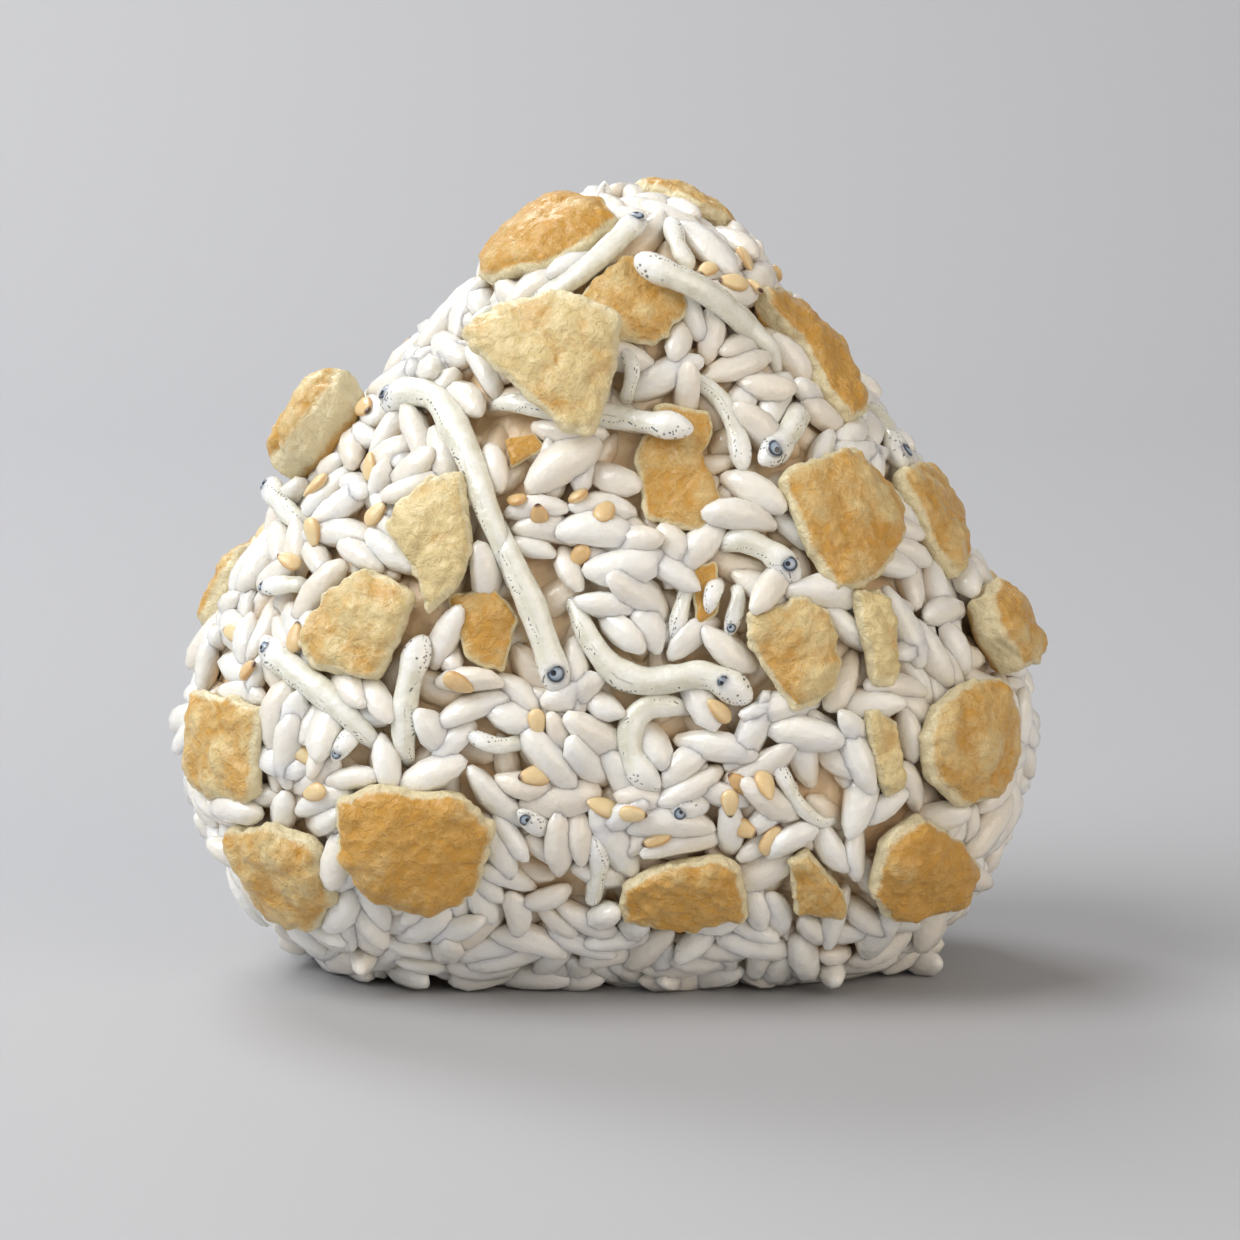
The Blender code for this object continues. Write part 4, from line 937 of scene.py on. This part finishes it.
def pack_grains(tree, rounds=46):
    """Settled middles, directions, lengths and widths of all grains, and a number for the layer of each."""
    rng = np.random.default_rng(21)
    held_place, held_size, held_turn = (np.array(HELD, float)[:, k] for k in (slice(0, 2), slice(2, 4), 4))
    held_spots = skin_points("front", *held_place.T)
    held_spots = held_spots - HELD_DEPTH * normals(held_spots)
    spread = spread_spots(rng, OUTER_GRAINS, DEPTHS[0])
    spots = [np.vstack([held_spots, spread]), spread_spots(rng, INNER_GRAINS, DEPTHS[1])]
    foot = rng.uniform((-25, -10.5, FOOT_LEVEL), (25, 10.5, FOOT_LEVEL), size=(FOOT_GRAINS, 3))
    layer = np.repeat([0, 1, 2], [len(spots[0]), len(spots[1]), len(foot)])
    middle = np.vstack([*spots, foot])
    count = len(middle)
    size = rng.uniform(0.72, 1.2, count)
    width = GRAIN_WIDTH * size ** 0.6 * rng.uniform(0.9, 1.08, count)
    length = GRAIN_LENGTH * size
    held = len(held_spots)
    length[:held], width[:held] = held_size.T
    radius = width / 2 * 0.95
    half = length / 2 - radius * 0.85
    outward = normals(middle)
    outward[layer == 2] = (0, 0, -1)
    right, up = tangents(outward + (0, 0.001, 0))
    turn = rng.uniform(0, 2 * math.pi, count)[:, None]
    turn[:held, 0] = np.radians(held_turn)
    tilt = rng.normal(0, 0.16, count)[:, None]
    tilt[:held] = 0
    along = np.cos(turn) * right + np.sin(turn) * up + outward * tilt
    along /= np.linalg.norm(along, axis=1, keepdims=True)
    depth = np.where(layer == 0, DEPTHS[0], DEPTHS[1]) + rng.normal(0, 0.3, count)
    depth = depth[:, None] + ROW * (half * rng.normal(0, 0.2, count))[:, None]
    balls = ball_rows(middle, half, along)
    fixed = balls[:held].copy()
    for step in range(rounds):
        balls = balls + pair_pushes(balls, radius)
        if step % 2 == 0 or step > rounds - 8:
            balls = balls + topping_pushes(balls, radius, tree)
        flat = balls.reshape(-1, 3)
        off = height(flat).reshape(count, 3) + depth
        pull = PULL * (layer < 2)[:, None]
        balls = balls - (off * pull)[..., None] * normals(flat).reshape(count, 3, 3)
        balls[layer == 2, :, 2] = FOOT_LEVEL
        balls[..., 2] = np.maximum(balls[..., 2], radius[:, None] * 0.9)
        middle = balls.mean(axis=1)
        along = balls[:, 2] - balls[:, 0]
        along /= np.linalg.norm(along, axis=1, keepdims=True)
        balls = ball_rows(middle, half, along)
        balls[:held] = fixed
    middle[:held] = fixed[:, 1]
    along[:held] = (fixed[:, 2] - fixed[:, 0]) / np.linalg.norm(fixed[:, 2] - fixed[:, 0], axis=1, keepdims=True)
    keep = np.ones(count, bool)
    for grain in range(count):
        nearest, facing, _, distance = tree.find_nearest(Vector(middle[grain]))
        inside = (Vector(middle[grain]) - nearest).dot(facing) < 0
        keep[grain] = not inside and distance > KEEP_GAP
    return middle[keep], along[keep], length[keep], width[keep], layer[keep], rng


toppings = topping_tree(tofu_pieces + fish_pieces + [fish_ends])
grain_middle, grain_along, grain_length, grain_width, grain_layer, rng = pack_grains(toppings)
print("grains:", len(grain_middle), "outer", int((grain_layer == 0).sum()))

# %% [markdown]
# ## Rice grains
# A cooked short grain is plump with blunt ends, a little bent, slightly wider at one end, with a small nick where
# the germ was and faint grooves along it. The shape is a squared-off ellipse in length, with the oval cross-section
# changed by a few waves around it. Each grain has only 63 faces, because there are more than a thousand.

# %% Grain shapes
BEND = 0.09


def grain_forms(middle, along, length, width, rng, rings=6, sides=9):
    """Rings of all grains at once: radius = (1 - |t|^2.3)^0.58, waves around, a bend, a taper and a germ nick."""
    count = len(middle)
    t = -np.cos(np.linspace(0, math.pi, rings + 2))[1:-1][None, :, None]
    turn = np.linspace(0, 2 * math.pi, sides, endpoint=False)[None, None]
    outward = normals(middle)
    side = np.cross(outward, along)
    side /= np.linalg.norm(side, axis=1, keepdims=True)
    outward = np.cross(along, side)
    roll = rng.uniform(-0.7, 0.7, count)[:, None]
    side, outward = np.cos(roll) * side + np.sin(roll) * outward, np.cos(roll) * outward - np.sin(roll) * side
    a, b, bend, taper, nick = (rng.uniform(-1, 1, (count, 1, 1)) for _ in range(5))
    profile = (1 - np.abs(t) ** 2.3) ** 0.58 * (1 + 0.16 * taper * t)
    waves = 1 + 0.10 * np.cos(2 * turn + 3 * a) + 0.06 * np.cos(3 * turn + 4 * b + t)
    germ = 1 - 0.22 * np.exp(-((t - 0.78) / 0.22) ** 2) * np.maximum(np.cos(turn - 3 * nick), 0)
    radius = profile * waves * germ
    wide = width[:, None, None, None] / 2 * 1.04
    form = middle[:, None, None] + (t * length[:, None, None] / 2)[..., None] * along[:, None, None]
    form = form + wide * (radius * np.cos(turn))[..., None] * side[:, None, None]
    form = form + wide * 0.9 * (radius * np.sin(turn))[..., None] * outward[:, None, None]
    curve = bend * BEND * length[:, None, None] * (t ** 2 - 0.35)
    form = form + curve[..., None] * side[:, None, None]
    form = form + 0.17 * np.stack([soft_noise(form, 1.7, s) for s in (4, 5, 6)], axis=-1)
    end = bend[:, 0] * BEND * length[:, None] * 0.65 * side
    first = middle - along * length[:, None] / 2 + end
    last = middle + along * length[:, None] / 2 + end
    return form, first, last


grain_form, first_tips, last_tips = grain_forms(grain_middle, grain_along, grain_length, grain_width, rng)
grain_points, grain_faces = closed_skins(grain_form, first_tips, last_tips)
each = len(grain_points) // len(grain_middle)
# painted shade in the gaps: 0 at 2.3 mm under the skin or deeper, 1 from 0.5 mm under it, times a share that differs
# from grain to grain, which is the rice's own tone
gap_shade_and_tone = np.clip((height(grain_points) + 2.3) / 1.8, 0, 1)
gap_shade_and_tone = np.clip(gap_shade_and_tone * np.repeat(rng.normal(0.92, 0.12, len(grain_middle)), each), 0, 1)
make_piece("rice_grains", grain_points, grain_faces, RICE, ["rice"], {"tone": gap_shade_and_tone})
print("grain faces:", len(grain_faces), "triangles:", sum(len(face) - 2 for face in grain_faces))

# %% [markdown]
# ## The pressed middle
# Between the grains one sees more rice, pressed together and in shade. A ball drawn onto a deeper level of the
# skin, with lumps the size of grains and a flat foot, closes every gap. Its finish is tan all over, as painted shade.

# %% Core
CORE_LEVEL, CORE_FOOT = -2.3, 0.5


def core_rings(rings=120, sides=180):
    """A ball pulled onto a level 2.3 mm under the skin, with noise lumps, cut flat just above the foot."""
    lat = np.linspace(-1, 1, rings + 2)[1:-1] * math.pi / 2
    turn = np.linspace(0, 2 * math.pi, sides, endpoint=False)
    unit = np.stack([np.cos(lat)[:, None] * np.cos(turn), np.cos(lat)[:, None] * np.sin(turn),
                     np.sin(lat)[:, None] * np.ones(sides)], axis=-1).reshape(-1, 3)
    points = settle(np.array([0.5, 0.0, 30.0]) + unit * 28, CORE_LEVEL, rounds=14)
    points = points + normals(points) * (0.5 * soft_noise(points, 2.6, 8) + 0.25 * soft_noise(points, 1.2, 9))[:, None]
    points[:, 2] = np.maximum(points[:, 2], CORE_FOOT)
    return points.reshape(rings, sides, 3)


points, faces = one_skin(core_rings())
make_piece("rice_core", points, faces, CORE, ["rice"])
print("core faces:", len(faces))

# %% [markdown]
# ## Sesame
# Roasted sesame seeds are flat teardrops from cream to tan, and some have a dark tip. Each lies on whatever grain
# is under it, so a ray is shot at the rice from outside and the seed is laid flat where it lands.

# %% Sesame finish
def sesame_finish():
    look = Finish(
        "roasted_sesame", Subsurface_Weight=0.25, Subsurface_Radius=(1.0, 0.6, 0.3), Subsurface_Scale=MM,
        Coat_Weight=0.35, Coat_Roughness=0.2,
    )
    tone, tip, dark, edge = (look.value(label) for label in ("tone", "tip", "dark", "edge"))
    cloud = look.noise(1.3, 3.0)
    shade = (tone + (cloud - 0.5) * 0.5).between(0.0, 1.0)
    colour = look.blend(shade, (0.83, 0.66, 0.38), (0.64, 0.39, 0.15))
    colour = look.blend(edge.between(0.72, 0.98) * 0.5, colour, (0.56, 0.27, 0.07))
    colour = look.blend(tip.between(0.84, 0.97) * dark, colour, (0.08, 0.025, 0.012))
    return look.finish(Base_Color=colour, Roughness=0.3 + cloud * 0.15, Normal=look.bump(cloud, 0.12))


SESAME = sesame_finish()
print("sesame finish:", len(SESAME.node_tree.nodes), "nodes")

# %% [markdown]
# The seeds of the front have their places listed, two coordinates each. Spare ones are thrown over the sides and the
# back. Each is a teardrop that is widest near its round end.

# %% Table of seeds
SEED_LENGTH, SEED_WIDTH, SEED_THICK = 2.85, 1.75, 0.95
SPARE_SEEDS, SEED_GAP = 52, 0.6
SEEDS = [
    (-25, 40.5), (-23.5, 39.3), (-27.4, 38), (-20, 43), (-20.7, 46.6), (-31, 29), (-32.8, 31.5), (-26.5, 22.5),
    (-26.6, 32.2), (-7.8, 44.6), (-5.8, 43.4), (-2.4, 45), (-2.4, 40), (-0.2, 43.6), (-12.6, 29.4), (-6, 26),
    (-8.4, 23.5), (-6.2, 21.4), (-0.5, 18.6), (2.2, 18.4), (4.2, 15.9), (5.2, 24.6), (9.4, 27), (9.2, 17.8),
    (11.2, 20.8), (10.4, 19), (11.6, 16.6), (14, 15.6), (13.4, 20.6), (2.5, 53.6), (8.8, 63.4), (10.6, 61.9),
    (12.4, 61.2), (12, 63.6), (-25.2, 44), (-24.9, 19.6), (-18.6, 57), (-21, 50.5),
]


# %% Sesame seeds
def seed_places(rng, rice_tree):
    """Where seeds land on the rice, the way they face and the way they point."""
    spots = skin_points("front", *np.array(SEEDS, float).T)
    more = spread_spots(rng, 400, 0.0)
    more = more[(more[:, 1] > 3) & (more[:, 2] > 5)][:SPARE_SEEDS]
    spots = np.vstack([spots, more])
    outward = normals(spots)
    landed = []
    for spot, facing in zip(spots, outward):
        place, flat, _, _ = rice_tree.ray_cast(Vector(spot + facing * 5), Vector(-facing), 9.0)
        if place is None or toppings.find_nearest(place)[3] < SEED_GAP:
            continue
        facing = np.array(flat) * 0.75 + facing * 0.25
        landed.append((*place, *(facing / np.linalg.norm(facing))))
    landed = np.array(landed)
    right, up = tangents(landed[:, 3:])
    turn = rng.uniform(0, 2 * math.pi, len(landed))[:, None]
    return landed[:, :3], landed[:, 3:], np.cos(turn) * right + np.sin(turn) * up


def seed_forms(place, facing, along, rng, rings=9, sides=12):
    """Teardrops: radius = (1 - t^2)^0.5 * (1 - 0.32 t), thin across the face, sunk a third into the rice."""
    count = len(place)
    t = -np.cos(np.linspace(0, math.pi, rings + 2))[1:-1][None, :, None, None]
    turn = np.linspace(0, 2 * math.pi, sides, endpoint=False)[None, None, :, None]
    side = np.cross(facing, along)
    size = rng.uniform(0.86, 1.08, count)[:, None, None, None]
    radius = (1 - t * t) ** 0.5 * (1 - 0.32 * t)
    middle = (place + facing * 0.12)[:, None, None]
    form = middle + size * SEED_LENGTH / 2 * t * along[:, None, None]
    form = form + size * SEED_WIDTH / 2 * radius * np.cos(turn) * side[:, None, None]
    form = form + size * SEED_THICK / 2 * radius * np.sin(turn) * facing[:, None, None]
    reach = size[:, 0, 0] * SEED_LENGTH / 2 * along
    full = np.ones((count, rings, sides))
    tip = (t * 0.5 + 0.5)[..., 0] * full
    edge = np.abs(np.cos(turn))[..., 0] * full
    return form, middle[:, 0, 0] - reach, middle[:, 0, 0] + reach, tip, edge


rice_tree = BVHTree.FromPolygons([Vector(p) for p in grain_points], grain_faces)
place, facing, along = seed_places(rng, rice_tree)
form, first, last, tip, edge = seed_forms(place, facing, along, rng)
points, faces = closed_skins(form, first, last)
each = len(points) // len(place)
values = {
    "tip": with_tips(tip, 0.0, 1.0), "tone": np.repeat(rng.uniform(0, 0.75, len(place)), each),
    "dark": np.repeat(rng.random(len(place)) < 0.6, each), "edge": with_tips(edge, 1.0, 1.0),
}
make_piece("sesame_seeds", points, faces, SESAME, ["rice"], values)
print("sesame seeds:", len(place))

# %% [markdown]
# ## Floor, light and camera
# The rice ball stands on a pale floor that curves up into a pale wall. A broad cool light from the upper left, as
# from a window, leaves soft shade on the right, and a weak warm one fills it. The camera looks slightly down.

# %% Stage
FLOOR_FRONT, FLOOR_BACK, WALL_TOP, BEND_RADIUS = -1.2, 0.35, 1.6, 0.3


def sweep(name, colour):
    """A floor that turns up into a wall along a quarter circle, as a grid of width by profile, in metres."""
    bend = np.linspace(0, math.pi / 2, 24)
    curve = np.column_stack([FLOOR_BACK + BEND_RADIUS * np.sin(bend), BEND_RADIUS - BEND_RADIUS * np.cos(bend)])
    profile = np.vstack([[(FLOOR_FRONT, 0.0), (FLOOR_BACK, 0.0)], curve, [(FLOOR_BACK + BEND_RADIUS, WALL_TOP)]])
    wide = np.linspace(-2.0, 2.0, 5)
    points = np.array([(x, y, z) for y, z in profile for x in wide])
    cols = len(wide)
    faces = [(r * cols + c, r * cols + c + 1, (r + 1) * cols + c + 1, (r + 1) * cols + c)
             for r in range(len(profile) - 1) for c in range(cols - 1)]
    made = link_mesh(name, points, faces, Finish(name, Roughness=0.7, Base_Color=(*colour, 1)).material)


def softbox(name, place, aim, size, power, colour):
    """A square area light that faces a point."""
    data = bpy.data.lights.new(name, "AREA")
    data.shape, data.size, data.energy, data.color = "SQUARE", size, power, colour
    lamp = bpy.data.objects.new(name, data)
    lamp.location = place
    lamp.rotation_euler = (Vector(aim) - Vector(place)).to_track_quat("-Z", "Y").to_euler()
    bpy.context.scene.collection.objects.link(lamp)


sweep("pale_sweep", (0.425, 0.43, 0.45))
softbox("window_light", (-0.55, -0.25, 0.60), (0, 0, 0.035), 0.6, 6.6, (0.99, 0.998, 1.0))
softbox("back_light", (-0.25, 0.45, 0.55), (0, 0, 0.045), 0.3, 2.5, (0.99, 0.998, 1.0))
softbox("warm_fill", (0.5, -0.5, 0.2), (0, 0, 0.03), 0.6, 2.2, (1.0, 0.85, 0.68))
world = bpy.data.worlds.new("soft_room")
world.use_nodes = True
room = world.node_tree.nodes["Background"].inputs
room["Color"].default_value = (0.90, 0.87, 0.84, 1)
room["Strength"].default_value = 0.40
bpy.context.scene.world = world
bpy.context.scene.view_settings.view_transform = "Standard"
print("lights:", len(bpy.data.lights))

# %% [markdown]
# The camera is as far away as a long lens asks for, and its focal length follows from the scale of the picture:
# sensor width * pixels per millimetre * distance / pixels across.

# %% Camera
ELEVATION = math.radians(9.6)
DISTANCE = 0.55
TARGET = Vector((0.00106, 0.0, 0.0309))
PIXELS_PER_MM, PIXELS_ACROSS = 11.3, 1240
lens = bpy.data.cameras.new("camera")
lens.sensor_width = 36.0
lens.lens = lens.sensor_width * PIXELS_PER_MM * DISTANCE / MM / PIXELS_ACROSS
lens.clip_start = 0.01
camera = bpy.data.objects.new("camera", lens)
camera.location = TARGET + Vector((0, -math.cos(ELEVATION), math.sin(ELEVATION))) * DISTANCE
camera.rotation_euler = (math.pi / 2 - ELEVATION, 0, 0)
bpy.context.scene.collection.objects.link(camera)
bpy.context.scene.camera = camera
print("lens", round(lens.lens, 1), "mm")
